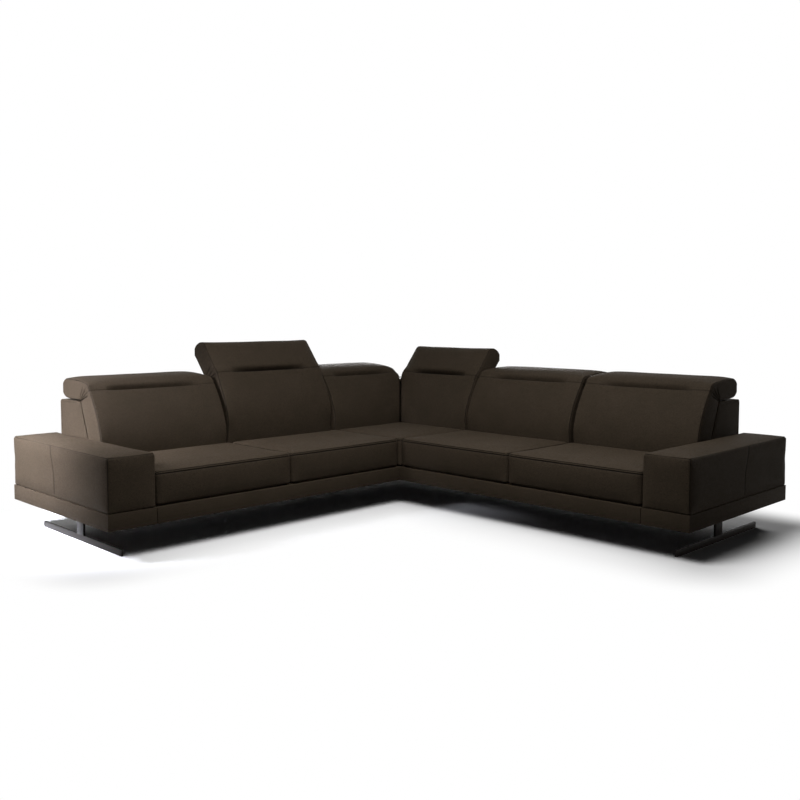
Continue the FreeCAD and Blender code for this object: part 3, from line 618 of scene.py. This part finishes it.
def seat(name, side):
    along, deep, high = reach(side, name)
    size = np.array([along[1] - along[0], deep[1] - deep[0] - SEAT_SHORT, SEAT_TOP - high[0]])
    sides = [
        rows(size[0], (SEAT_EDGE, SEAT_EDGE), SEAT_PITCH),
        rows(size[1], (SEAT_EDGE, SEAT_EDGE), SEAT_PITCH),
        rows(size[2], (SEAT_HEEL, SEAT_EDGE), SEAT_PITCH),
    ]
    cut, faces = box_net(sides)
    low_round = np.array([SEAT_EDGE, SEAT_EDGE, SEAT_HEEL])
    shape = rounded(cut, size, low_round, np.full(3, SEAT_EDGE))
    points = to_sofa(side, shape + (along[0], deep[0], high[0]))
    x, y, z = cut.T
    beside = np.minimum(x, size[0] - x)
    on_side = (beside == 0) | (y == 0) | (z == 0)
    on_seam = (z == size[2]) & ((beside == 0) | (y == size[1]))
    proud = np.where(y == size[1], FRONT_RISE, SEAT_RISE)
    piece = new_pad(f"{name}_cover", cut, faces, points, on_side | on_seam, proud)

    def relief(cut):
        x, y, z = cut.T
        inside = np.minimum(np.minimum(x, size[0] - x), size[1] - y)
        across = inside - (size[2] - z)
        shown = ease(y, *SEAM_START)
        rows_of_stitches = sum(crease(across - row, SEAM_WIDTH) for row in SEAM_ROWS)
        puckers = ripple(cut, np.array(SEAT_PUCKER), along[0]) * crease(across, 20)
        band = crease(across - sum(SEAM_ROWS) / 2, BAND_WIDTH)
        out = shown * (0.5 * puckers + BAND_RISE * band - SEAM_DEPTH * rows_of_stitches)
        # the second value is painted shade along the rows of stitches
        return out + 0.7 * ripple(cut, SEAT_WAVE, along[0]), shown * rows_of_stitches

    return piece, name, relief


# Arms

ARM_EDGE = 15
ARM_PITCH = 30
ARM_TOP = 481
ARM_RISE = 11
ARM_SINK = 2.6  # the cover closes on the plinth, so the boards in it do not show
ARM_FOOT = 9
ARM_SIDE_RISE = 5
ARM_SEAM_DEPTH = 3.2
ARM_SEAM_WIDTH = 3.2
CORNER_SEAM_DEPTH = 2
SIDE_SEAM_DEPTH = 1.8
SIDE_SEAM_DEEP = (445, 500)  # the curved seam on the outer side, at its top and where it bows out furthest
SIDE_SEAM_TURN = 0.75  # the share of a half turn that its bow runs through
SIDE_SEAM_ZONE = 49  # the net is finer this far to either side of it
SIDE_SEAM_PITCH = 9.8
ARM_PUCKER = (37, 33, LEVEL)
ARM_WAVE = 310


def arm(side):
    node = f"arm_cover_{side}"
    along, deep, high = reach(side, node)
    foot = high[0] - ARM_SINK
    size = np.array([along[1] - along[0], deep[1] - deep[0], ARM_TOP - foot])
    middle = sum(SIDE_SEAM_DEEP) / 2
    zone = (middle - SIDE_SEAM_ZONE, middle + SIDE_SEAM_ZONE, SIDE_SEAM_PITCH)
    sides = [
        rows(size[0], (ARM_EDGE, ARM_EDGE), ARM_PITCH),
        rows(size[1], (ARM_EDGE, ARM_EDGE), ARM_PITCH, [zone]),
        rows(size[2], (ARM_FOOT, ARM_EDGE), ARM_PITCH),
    ]
    cut, faces = box_net(sides)
    edges = np.full(3, ARM_EDGE)
    shape = rounded(cut, size, (ARM_EDGE, ARM_EDGE, ARM_FOOT), edges)
    points = to_sofa(side, shape + (along[0], deep[0], foot))
    x, y, z = cut.T
    round_about = np.minimum(np.minimum(x, size[0] - x), np.minimum(y, size[1] - y))
    held = (x == 0) | (z == 0) | ((z == size[2]) & (round_about == 0))
    held |= (x == size[0]) & (y == size[1])
    proud = np.where(z == size[2], ARM_RISE, ARM_SIDE_RISE)
    piece = new_pad(f"{node}_skin", cut, faces, points, held, proud)

    def relief(cut):
        x, y, z = cut.T
        round_about = np.minimum(np.minimum(x, size[0] - x), np.minimum(y, size[1] - y))
        top = round_about - (size[2] - z)
        corner = (size[0] - x) - (size[1] - y)
        turn = math.pi * (1 - z / size[2]) * SIDE_SEAM_TURN
        bow = SIDE_SEAM_DEEP[0] + (SIDE_SEAM_DEEP[1] - SIDE_SEAM_DEEP[0]) * np.sin(turn)
        on_outside = (x > size[0] - 2) & (z > 1)
        low = ease(z, 4, 20)
        top_seam = crease(top, ARM_SEAM_WIDTH)
        at_front = (y > size[1] / 2) * ease(size[2] - z, 0, 4)
        corner_seam = crease(corner, ARM_SEAM_WIDTH) * low * at_front
        side_seam = crease(y - bow, 1.5 * ARM_SEAM_WIDTH) * on_outside * low
        out = -ARM_SEAM_DEPTH * top_seam - CORNER_SEAM_DEPTH * corner_seam - SIDE_SEAM_DEPTH * side_seam
        out += 0.5 * ripple(cut, np.array(ARM_PUCKER), size[1]) * crease(top + 8, 16)
        out += 0.8 * ripple(cut, ARM_WAVE, along[0] + len(side))
        # the second value is painted shade along the seams
        return out, top_seam + corner_seam + 0.7 * side_seam

    return piece, node, relief


# Back cushions with their headrests, in one cover each

# Sections through a cover from its foot to its headrest's tip, (deep, high): the outer side and the inner
FOLDED_OUTER = [
    (447, 300), (450, 392), (456, 464), (440, 529), (417, 589), (392, 638), (364, 683), (335, 722),
    (317, 749), (276, 762), (215, 769), (158, 773), (95, 774), (50, 771), (29, 742),
]  # fmt: skip
FOLDED_INNER = [
    (379, 300), (340, 397), (313, 464), (287, 529), (263, 589), (243, 638), (238, 655), (234, 662),
    (228, 666), (215, 666), (185, 666), (150, 666), (105, 667), (50, 671), (29, 700),
]  # fmt: skip
RAISED_OUTER = [
    (447, 300), (450, 392), (456, 464), (440, 529), (417, 589), (392, 638), (368, 690), (350, 727),
    (318, 762), (280, 810), (240, 860), (217, 890), (200, 897), (165, 896), (132, 881), (112, 850),
]  # fmt: skip
RAISED_INNER = [
    (379, 300), (340, 397), (313, 464), (287, 529), (263, 589), (243, 638), (238, 655), (234, 664),
    (222, 680), (194, 715), (165, 750), (150, 768), (140, 780), (128, 795), (120, 804), (114, 811),
]  # fmt: skip
LIFT_SHIFT = np.array([-22.5, 55.6])  # a backrest at the top of its travel
PAD_SEAM = 7  # the seam between cushion and headrest, counted along the section's points
PAD_END = 8
PAD_TIP = 9
PAD_DEPTH = 80
PAD_PITCH = 30
FACE_RISE = 12
END_RISE = 2.5
SECTION_SAMPLES = 1200
SHOULDER = (34, 30)  # how far the folded corner headrest rounds off along the wing, and how deep
SHOULDER_START = (-40, 50)  # from the seam, where it comes in
CORNER_START = 370  # where the headrests beside the corner begin along the wing
MITRE_GAP = 5  # the covers beside the corner stop this far from its diagonal
MITRE_END = (-60, 20)  # from the seam, where the mitred end turns into the headrest's square one
FOLD_ZONE = (-24, 56, 8)  # from, to and pitch of the finer net at the fold
SLOT_SHARE = 0.74  # of the headrest's length
SLOT_DEPTH = 33
SLOT_HEIGHT = 18  # how far its hollow fades out upward, and SLOT_LIP downward
SLOT_LIP = 4
# how far up the slot's hollow its painted shade reaches
SLOT_SHADE = 8
PLEATS = (-24, 2, 32, 70)  # places of the folds in the end panel, from the seam
PLEAT_DEPTH = 5
PLEAT_WIDTH = 3.6
CROSS_SEAM_DEPTH = 1.8
EDGE_SEAM_DEPTH = 2.6
STITCH_DEPTH = 1.1
STITCH_IN = 11  # a row of stitches beside the edge seam
COVER_PUCKER = (41, 36, LEVEL)
COVER_WAVE = 300


def through(points, place):
    """A smooth curve through the points, read at places counted from the first point."""
    points = np.asarray(points, float)
    padded = np.vstack([2 * points[0] - points[1], points, 2 * points[-1] - points[-2]])
    step = np.clip(np.floor(place).astype(int), 0, len(points) - 2)
    share = (place - step)[:, None]
    a, b, c, d = (padded[step + i] for i in range(4))
    square = (2 * a - 5 * b + 4 * c - d) * share**2
    cube = (3 * b - a - 3 * c + d) * share**3
    return 0.5 * (2 * b + (c - a) * share + square + cube)


def backrest_cover(side, place):
    """A cushion and its headrest in one cover, a flat pad bent round its section."""
    unit = f"{side}_{place}"
    raised = unit in RAISED
    outer = np.array(RAISED_OUTER if raised else FOLDED_OUTER, float)
    inner = np.array(RAISED_INNER if raised else FOLDED_INNER, float)
    if unit in LIFTED:
        outer += LIFT_SHIFT
        inner += LIFT_SHIFT
    start, end = reach(side, f"headrest_pad_{unit}")[0]
    if place == "corner":
        start = CORNER_START
    fine = np.linspace(0, len(outer) - 1, SECTION_SAMPLES)
    steps = np.linalg.norm(np.diff(through(outer, fine), axis=0), axis=1)
    run = np.concatenate([[0], np.cumsum(steps)])
    seam = np.interp(PAD_SEAM, fine, run)
    tip = run[-1]
    width = end - start
    size = np.array([tip, width, PAD_DEPTH])
    low, high, pitch = FOLD_ZONE
    sides = [
        rows(tip, (PAD_TIP, PAD_TIP), PAD_PITCH, [(seam + low, seam + high, pitch)]),
        rows(width, (PAD_END, PAD_END), PAD_PITCH),
        rows(PAD_DEPTH, (PAD_END, PAD_END), PAD_PITCH),
    ]
    cut, faces = box_net(sides)
    low_round = np.tile([PAD_TIP, PAD_END, PAD_END], (len(cut), 1)).astype(float)
    high_round = low_round.copy()
    if place == "corner" and not raised:
        on_pad = ease(cut[:, 0], seam + SHOULDER_START[0], seam + SHOULDER_START[1])
        at_corner = ease(-cut[:, 1], -1.5 * SHOULDER[0], -SHOULDER[0])
        low_round[:, 1] += (SHOULDER[0] - PAD_END) * on_pad
        low_round[:, 2] += (SHOULDER[1] - PAD_END) * on_pad * at_corner
    shape = rounded(cut, size, low_round, high_round)

    def lay(shape):
        """Bends the flat pad round its section."""
        count = np.interp(shape[:, 0], run, fine)
        depth = (shape[:, 2] / PAD_DEPTH)[:, None]
        section = through(outer, count) * (1 - depth) + through(inner, count) * depth
        along = start + shape[:, 1]
        if place == "corner":
            on_pad = ease(shape[:, 0], seam + MITRE_END[0], seam + MITRE_END[1])
            mitre = (section[:, 0] + MITRE_GAP) * (1 - on_pad) + start * on_pad
            along = mitre + (end - mitre) * shape[:, 1] / width
        return np.column_stack([along, section])

    points = to_sofa(side, lay(shape))
    s, x, d = cut.T
    beside = np.minimum(x, width - x)
    held = (d == PAD_DEPTH) | (s == 0) | (s == tip)
    held |= (d == 0) & (beside == 0)
    held |= (d == 0) & (np.abs(s - seam) < 3)
    proud = np.where(beside == 0, END_RISE, FACE_RISE)
    piece = new_pad(f"backrest_cover_{unit}", cut, faces, points, held, proud)

    def relief(cut):
        s, x, d = cut.T
        beside = np.minimum(x, width - x)
        front = ease(-d, -2, -0.5)
        edge = beside - d
        above = s - seam
        off_foot = ease(s, 20, 60)
        lens = 1 - np.clip(np.abs(x - width / 2) / (SLOT_SHARE * width / 2), 0, 1) ** 4
        dent = np.where(above > 0, crease(above - 2, SLOT_HEIGHT), crease(above, SLOT_LIP)) * lens
        cross_seam = crease(above, 2.2) * ease(-d, -60, -10)
        edge_seam = crease(edge - 1, 3) * off_foot
        stitches = crease(edge - STITCH_IN, 1.8) * off_foot
        out = -SLOT_DEPTH * dent * front
        out -= CROSS_SEAM_DEPTH * cross_seam + EDGE_SEAM_DEPTH * edge_seam + STITCH_DEPTH * stitches
        # painted shade in the cross and edge seams and in the slot's hollow
        painted_shade = 0.6 * cross_seam + edge_seam + 0.9 * crease(above - 3, SLOT_SHADE) * lens * front
        on_end = ease(-beside, -1, -0.2) * ease(d, 4, 14)
        for pleat in PLEATS:
            fanned = pleat * (1 - 0.25 * d / PAD_DEPTH)
            turn = (above - fanned) / (1 + 0.6 * (1 - d / PAD_DEPTH))
            fold = on_end * crease(turn, PLEAT_WIDTH) * ease(d, 2, 40)
            out -= PLEAT_DEPTH * fold
            # painted shade in the pleat's fold
            painted_shade = painted_shade + 0.5 * fold
        out += 0.45 * ripple(cut, np.array(COVER_PUCKER), start) * crease(edge - 10, 22)
        return out + 0.9 * ripple(cut, COVER_WAVE, start / 5), painted_shade

    return piece, side, unit, relief


# Rigid pieces, modelled one by one

SOFT_CORNER = 4
BEVEL_STEPS = 3


def block(name, side, along, deep, high):
    """A box between wing places, as an object at the sofa's origin."""
    bpy.ops.object.select_all(action="DESELECT")
    low = point(side, along[0], deep[0], high[0])
    far = point(side, along[1], deep[1], high[1])
    bpy.ops.mesh.primitive_cube_add(size=1, location=(low + far) / 2, scale=[abs(v) for v in far - low])
    piece = bpy.context.object
    piece.name = name
    bpy.ops.object.transform_apply(location=True, rotation=True, scale=True)
    return piece


def soften(piece, width, steps=BEVEL_STEPS):
    """Rounds every edge of a piece and shades it smooth."""
    bevel = piece.modifiers.new("soft_edges", "BEVEL")
    bevel.width = width * MM
    bevel.segments = steps
    bevel.limit_method = "ANGLE"
    bevel.angle_limit = math.radians(25)
    select_only(piece)
    bpy.ops.object.modifier_apply(modifier=bevel.name)
    bpy.ops.object.shade_smooth_by_angle(angle=math.radians(40))


def pick_faces(piece, wanted):
    """Edit mode with only the faces picked that wanted(centre, normal) says."""
    select_only(piece)
    bpy.ops.object.mode_set(mode="EDIT")
    bpy.ops.mesh.select_mode(type="FACE")
    bpy.ops.mesh.select_all(action="DESELECT")
    net = bmesh.from_edit_mesh(piece.data)
    for face in net.faces:
        face.select = bool(wanted(face.calc_center_median(), face.normal))
    bmesh.update_edit_mesh(piece.data)


def join(name, pieces):
    select_only(*pieces)
    bpy.ops.object.join()
    pieces[0].name = name
    pieces[0].data.name = name
    return pieces[0]


def dress(piece, slot, body, *nodes):
    """Gives a piece its finish and its body, and hides the CAD nodes that it stands for."""
    piece.data.materials.clear()
    piece.data.materials.append(FINISHES[slot])
    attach(piece, body)
    if nodes:
        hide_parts(*nodes)


TURN_UNDER = 9  # the leather's pulled-under margin on the plinth's bottom edge
TURN_DEPTH = 1.5
RAIL_OVER = 0.4  # the leather stands this much over the deck
RAIL_GAP = 2.5  # between the front rail and the block under the arm


def covered_rail(name, side, along, deep, high):
    """A rail in leather, which is pulled round its edges and stapled under it."""
    rail = block(name, side, along, deep, high)
    pick_faces(rail, lambda place, normal: normal.z < -0.9)
    bpy.ops.mesh.inset(thickness=TURN_UNDER * MM, depth=0)
    bpy.ops.mesh.inset(thickness=TURN_DEPTH * MM, depth=-TURN_DEPTH * MM)
    bpy.ops.object.mode_set(mode="OBJECT")
    soften(rail, SOFT_CORNER)
    return rail


def plinth(side):
    along, deep, high = reach(side, f"plinth_rails_{side}")
    arm_along = reach(side, f"plinth_arm_{side}")[0]
    depth = reach(side, "corner_deck")[0][0]
    inner = deep[1]
    high = (high[0], high[1] + RAIL_OVER)
    corner = inner - depth if side == "right" else inner
    front = covered_rail("front_rail", side, (corner, along[1] - RAIL_GAP), (inner - depth, inner), high)
    rear = covered_rail("rear_rail", side, (along[0], along[1]), (0, depth), high)
    rails = join(f"plinth_{side}", [front, rear])
    dress(rails, "leather", "frame", f"plinth_rails_{side}")
    under_arm = covered_rail(f"plinth_under_arm_{side}", side, arm_along, (0, inner), high)
    dress(under_arm, "leather", "frame", f"plinth_arm_{side}")


LEG_EDGE = 1.2
BAR_THICK = 12
FOOT_HIGH = 30
POST_HALF = 35
PLATE_HALF = 80
PLATE_THICK = 6


def leg(side):
    """A T of flat bar with a plate to bolt on."""
    along, deep, high = reach(side, f"sled_leg_{side}")
    middle = sum(along) / 2
    centre = sum(deep) / 2
    bar = (middle - BAR_THICK / 2, middle + BAR_THICK / 2)
    under_plate = high[1] - PLATE_THICK
    foot = block("foot_bar", side, bar, deep, (0, FOOT_HIGH))
    pick_faces(foot, lambda place, normal: normal.z > 0.9)
    bpy.ops.mesh.inset(thickness=1 * MM, depth=0)
    bpy.ops.object.mode_set(mode="OBJECT")
    post = block("post", side, bar, (centre - POST_HALF, centre + POST_HALF), (FOOT_HIGH - 1, under_plate))
    plate = block("plate", side, along, (centre - PLATE_HALF, centre + PLATE_HALF), (under_plate, high[1]))
    for part in (foot, post, plate):
        soften(part, LEG_EDGE, 2)
    leg_piece = join(f"flat_bar_leg_{side}", [foot, post, plate])
    dress(leg_piece, "leg_metal", "frame", f"sled_leg_{side}")


SHELL_EDGE = 7
SHELL_CORNER = 17
SHELL_RISE = 3  # wadding under the leather of the shelf
SHELL_THICK = 22
END_THICK = 30
END_OVERLAP = 12  # the rear and the shelf reach this far into the end panel
SHELF_DEEP = 218
SHELF_INSET = 4  # keeps the shelf's edge inside the rear panel's
REAR_SEAM = 1036  # the first seam of the rear, in line with the plinth's inner corner
REAR_EDGE = 5
SHELL_SEAM_IN = 10
SHELL_SEAM = 2  # width of each flank of the end panel's seam, and its depth
LEAN_FOOT = 408  # depth of the backrests' sloping line at the plinth's top
PLINTH_TOP = 225
LEAN = math.radians(68)


def on_lean(high):
    return LEAN_FOOT - (high - PLINTH_TOP) / math.tan(LEAN)


def groove_face(piece, wanted):
    """A seam pressed into a face, parallel to its outline."""
    pick_faces(piece, wanted)
    bpy.ops.mesh.inset(thickness=SHELL_SEAM_IN * MM, depth=0)
    bpy.ops.mesh.inset(thickness=SHELL_SEAM * MM, depth=-SHELL_SEAM * MM)
    bpy.ops.mesh.inset(thickness=SHELL_SEAM * MM, depth=SHELL_SEAM * MM)
    bpy.ops.object.mode_set(mode="OBJECT")


def back_shell(side):
    """The rear panels, the shelf on them and the sloping end panel."""
    node = f"back_shell_{side}"
    along, deep, high = reach(side, node)
    high = (high[0], high[1] + SHELL_RISE)
    shelf_start = along[0] + SHELF_INSET if side == "right" else SHELF_DEEP
    panel_start = along[1] - END_THICK
    inside_panel = panel_start + END_OVERLAP
    outer_seam = reach(side, f"back_cushion_{side}_outer")[0][0] - 10
    stops = [along[0], REAR_SEAM, outer_seam, inside_panel]
    parts = []
    for first, last in zip(stops, stops[1:]):
        part = block("rear_panel", side, (first, last), (0, SHELL_THICK), (high[0], high[1] - 2))
        soften(part, REAR_EDGE)
        parts.append(part)
    shelf_high = (high[1] - SHELL_THICK, high[1])
    shelf = block("shelf", side, (shelf_start, inside_panel), (SHELF_INSET, SHELF_DEEP), shelf_high)
    soften(shelf, SHELL_EDGE)
    end_panel = block("end_panel", side, (panel_start, along[1]), (0, on_lean(PLINTH_TOP)), high)
    for vertex in end_panel.data.vertices:
        place = vertex.co
        depth = HALF_SPAN - place.y if side == "right" else place.x + HALF_SPAN
        if depth > 0.3 and place.z > 0.5:
            moved = on_lean(high[1]) * MM
            if side == "right":
                place.y = HALF_SPAN - moved
            else:
                place.x = moved - HALF_SPAN
    outward = Vector((1, 0, 0)) if side == "right" else Vector((0, -1, 0))
    select_only(end_panel)
    bpy.ops.object.mode_set(mode="EDIT")
    bpy.ops.mesh.select_mode(type="EDGE")
    bpy.ops.mesh.select_all(action="DESELECT")
    net = bmesh.from_edit_mesh(end_panel.data)
    for edge in net.edges:
        run = (edge.verts[1].co - edge.verts[0].co).normalized()
        top = min(v.co.z for v in edge.verts) > high[1] * MM - 0.001
        edge.select = top and abs(run.dot(outward)) > 0.9
    bmesh.update_edit_mesh(end_panel.data)
    bpy.ops.mesh.bevel(offset=SHELL_CORNER * MM, segments=5)
    bpy.ops.object.mode_set(mode="OBJECT")
    groove_face(end_panel, lambda place, normal: normal.dot(outward) > 0.9)
    soften(end_panel, SHELL_EDGE)
    shell = join(f"leather_{node}", [*parts, shelf, end_panel])
    dress(shell, "leather", "frame", node)


BOARD = 12  # thickness of the board behind a backrest
LINING = 1.5  # the felt round it


def board_lining(side, unit):
    """Black felt wrapped round a backrest's board, which shows where the backrest is lifted."""
    along, deep, high = reach(side, f"back_board_{unit}")
    across = np.array([math.sin(LEAN), math.cos(LEAN)])
    upward = np.array([-math.cos(LEAN), math.sin(LEAN)])
    foot = np.array([deep[1] - BOARD * across[0], high[0]]) - upward * LINING
    top = np.array([deep[0], high[1] - BOARD * across[1]]) + upward * LINING
    wide = (along[0] - LINING, along[1] + LINING)
    lining = block(f"felt_round_board_{unit}", side, wide, (0, 1), (0, 1))
    half = HALF_SPAN / MM
    for vertex in lining.data.vertices:
        x, y, z = vertex.co / MM
        place, depth = (x + half, half - y) if side == "right" else (half - y, x + half)
        corner = (top if z > 0.5 else foot) + across * (BOARD + LINING if depth > 0.5 else -LINING)
        vertex.co = point(side, place, *corner)
    soften(lining, 1, 2)
    dress(lining, "dust_cloth", f"backrest_{unit}")


# Stage, lights and camera

CAMERA_PLACE = (3.3006, -3.2660, 1.1054)
CAMERA_TURN = math.radians(45.256)
CAMERA_DIP = math.radians(3.877)
CAMERA_LENS = 40.434
CAMERA_SHIFT = -0.0292
FLOOR_HALF = 14
FADE = (0.02, 0.42)  # metres from the sofa's outline over which the floor turns pure white
FLOOR_BOUNCE = "#505050"  # the floor as the sofa's underside sees it
WHITE = "#FFFFFF"
AMBIENT = 0.02  # the white room's own light on the sofa
# Lamps: place, point aimed at, width and length in metres, watts
LAMPS = {
    "over_left_wing": ((-0.45, -0.8, 2.0), (-0.62, -0.8, 0), (0.6, 1.2), 4),
    "over_right_wing": ((0.8, 0.45, 2.0), (0.8, 0.62, 0), (1.2, 0.6), 6),
    "front_box": ((0.8, -0.8, 2.4), (-0.2, 0.2, 0.6), (1.2, 1.2), 56),
    "rear_box": ((-3.0, 3.0, 1.15), (-0.9, 0.9, 0.4), (3.0, 0.9), 150),
    "left_key": ((-1.15, -2.35, 1.3), (-1.3, -1.45, 0.4), (0.7, 0.5), 33),
}
OPEN_SPREAD = 180  # degrees
SPREAD = {"left_key": 72}
TINT = {"left_key": (0.88, 0.9, 1.0)}


def seen_rays(owner):
    """1 for rays by which the camera sees, straight, mirrored or through glass, and 0 for the rest."""
    rays = add_node(owner, "ShaderNodeLightPath")
    seen = [(rays, "Is Camera Ray", 0), (rays, "Is Glossy Ray", 1)]
    seen = add_node(owner, "ShaderNodeMath", seen, operation="MAXIMUM")
    seen = [(seen, 0, 0), (rays, "Is Transmission Ray", 1)]
    return add_node(owner, "ShaderNodeMath", seen, operation="MAXIMUM")


def from_footprint(material, place, low, high):
    """How far a floor point lies outside a rectangle, in metres."""
    middle = [(a + b) / 2 for a, b in zip(low, high)]
    half = [(b - a) / 2 for a, b in zip(low, high)]
    steps = [("SUBTRACT", [(1, (*middle, 0))]), ("ABSOLUTE", []), ("SUBTRACT", [(1, (*half, 0))])]
    link = (place, "Object", 0)
    for operation, inputs in [*steps, ("MAXIMUM", []), ("LENGTH", [])]:
        node = add_node(material, "ShaderNodeVectorMath", [link], inputs, operation=operation)
        link = (node, 0, 0)
    return node


def studio():
    """A white floor that keeps the shadow near the sofa and turns pure white further out."""
    bpy.ops.object.select_all(action="DESELECT")
    bpy.ops.mesh.primitive_plane_add(size=2 * FLOOR_HALF)
    floor = bpy.context.object
    floor.name = "studio_floor"
    material = new_material("white_studio_floor")
    place = add_node(material, "ShaderNodeTexCoord")
    inner = cad_high.y - reach("right", "plinth_arm_right")[1][1] * MM
    right = from_footprint(material, place, (cad_low.x, inner), (cad_high.x, cad_high.y))
    left = from_footprint(material, place, (cad_low.x, cad_low.y), (-inner, cad_high.y))
    distance = add_node(
        material, "ShaderNodeMath", [(right, "Value", 0), (left, "Value", 1)], operation="MINIMUM"
    )
    far = add_node(
        material,
        "ShaderNodeMapRange",
        [(distance, 0, "Value")],
        interpolation_type="SMOOTHSTEP",
        From_Min=FADE[0],
        From_Max=FADE[1],
    )
    seen = seen_rays(material)
    tone = add_node(
        material,
        "ShaderNodeMix",
        [(seen, 0, "Factor")],
        [(FIRST_COLOUR, linear(FLOOR_BOUNCE)), (SECOND_COLOUR, linear(WHITE))],
        data_type="RGBA",
    )
    paper = add_node(material, "ShaderNodeBsdfDiffuse", [(tone, MIXED, "Color")])
    glow = add_node(material, "ShaderNodeEmission", Color=linear(WHITE), Strength=1.0)
    share = add_node(material, "ShaderNodeMath", [(far, 0, 0), (seen, 0, 1)], operation="MULTIPLY")
    mixed = add_node(material, "ShaderNodeMixShader", [(share, 0, 0), (paper, 0, 1), (glow, 0, 2)])
    floor.data.materials.append(close_material(material, mixed))


def white_world():
    world = cleared(bpy.data.worlds.new("white_studio"))
    scene.world = world
    dim = add_node(world, "ShaderNodeBackground", Color=linear(WHITE), Strength=AMBIENT)
    white = add_node(world, "ShaderNodeBackground", Color=linear(WHITE))
    mixed = add_node(world, "ShaderNodeMixShader", [(seen_rays(world), 0, 0), (dim, 0, 1), (white, 0, 2)])
    add_node(world, "ShaderNodeOutputWorld", [(mixed, 0, "Surface")])


def lamps():
    for name, (place, target, size, watts) in LAMPS.items():
        lamp = bpy.data.lights.new(name, "AREA")
        lamp.shape = "RECTANGLE"
        lamp.size, lamp.size_y = size
        lamp.energy = watts
        lamp.color = TINT.get(name, (1, 1, 1))
        lamp.spread = math.radians(SPREAD.get(name, OPEN_SPREAD))
        holder = bpy.data.objects.new(name, lamp)
        holder.visible_camera = False
        holder.location = place
        aim = Vector(target) - Vector(place)
        holder.rotation_euler = aim.to_track_quat("-Z", "Y").to_euler()
        scene.collection.objects.link(holder)


def camera():
    lens = bpy.data.cameras.new("photo_view")
    lens.lens = CAMERA_LENS
    lens.sensor_width = 36
    lens.shift_y = CAMERA_SHIFT
    holder = bpy.data.objects.new("photo_view", lens)
    holder.location = CAMERA_PLACE
    holder.rotation_euler = (math.pi / 2 - CAMERA_DIP, 0, CAMERA_TURN)
    scene.collection.objects.link(holder)
    scene.camera = holder


def build():
    camera()
    finish_cad_nodes()
    flat_pads = [seat(name, side) for name, side in SEATS.items()] + [arm(side) for side in SIDES]
    covers = [backrest_cover(side, place) for side in SIDES for place in UNITS]
    swell_pads()
    for piece, node, relief in flat_pads:
        sew(piece, relief)
        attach(piece, "frame")
        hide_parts(node)
    for piece, side, unit, relief in covers:
        sew(piece, relief)
        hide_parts(f"back_cushion_{unit}", f"headrest_pad_{unit}")
        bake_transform(piece)
    for side in SIDES:
        for place in UNITS:
            board_lining(side, f"{side}_{place}")
        plinth(side)
        leg(side)
        back_shell(side)
    studio()
    white_world()
    lamps()


build()
scene.view_settings.view_transform = "Standard"
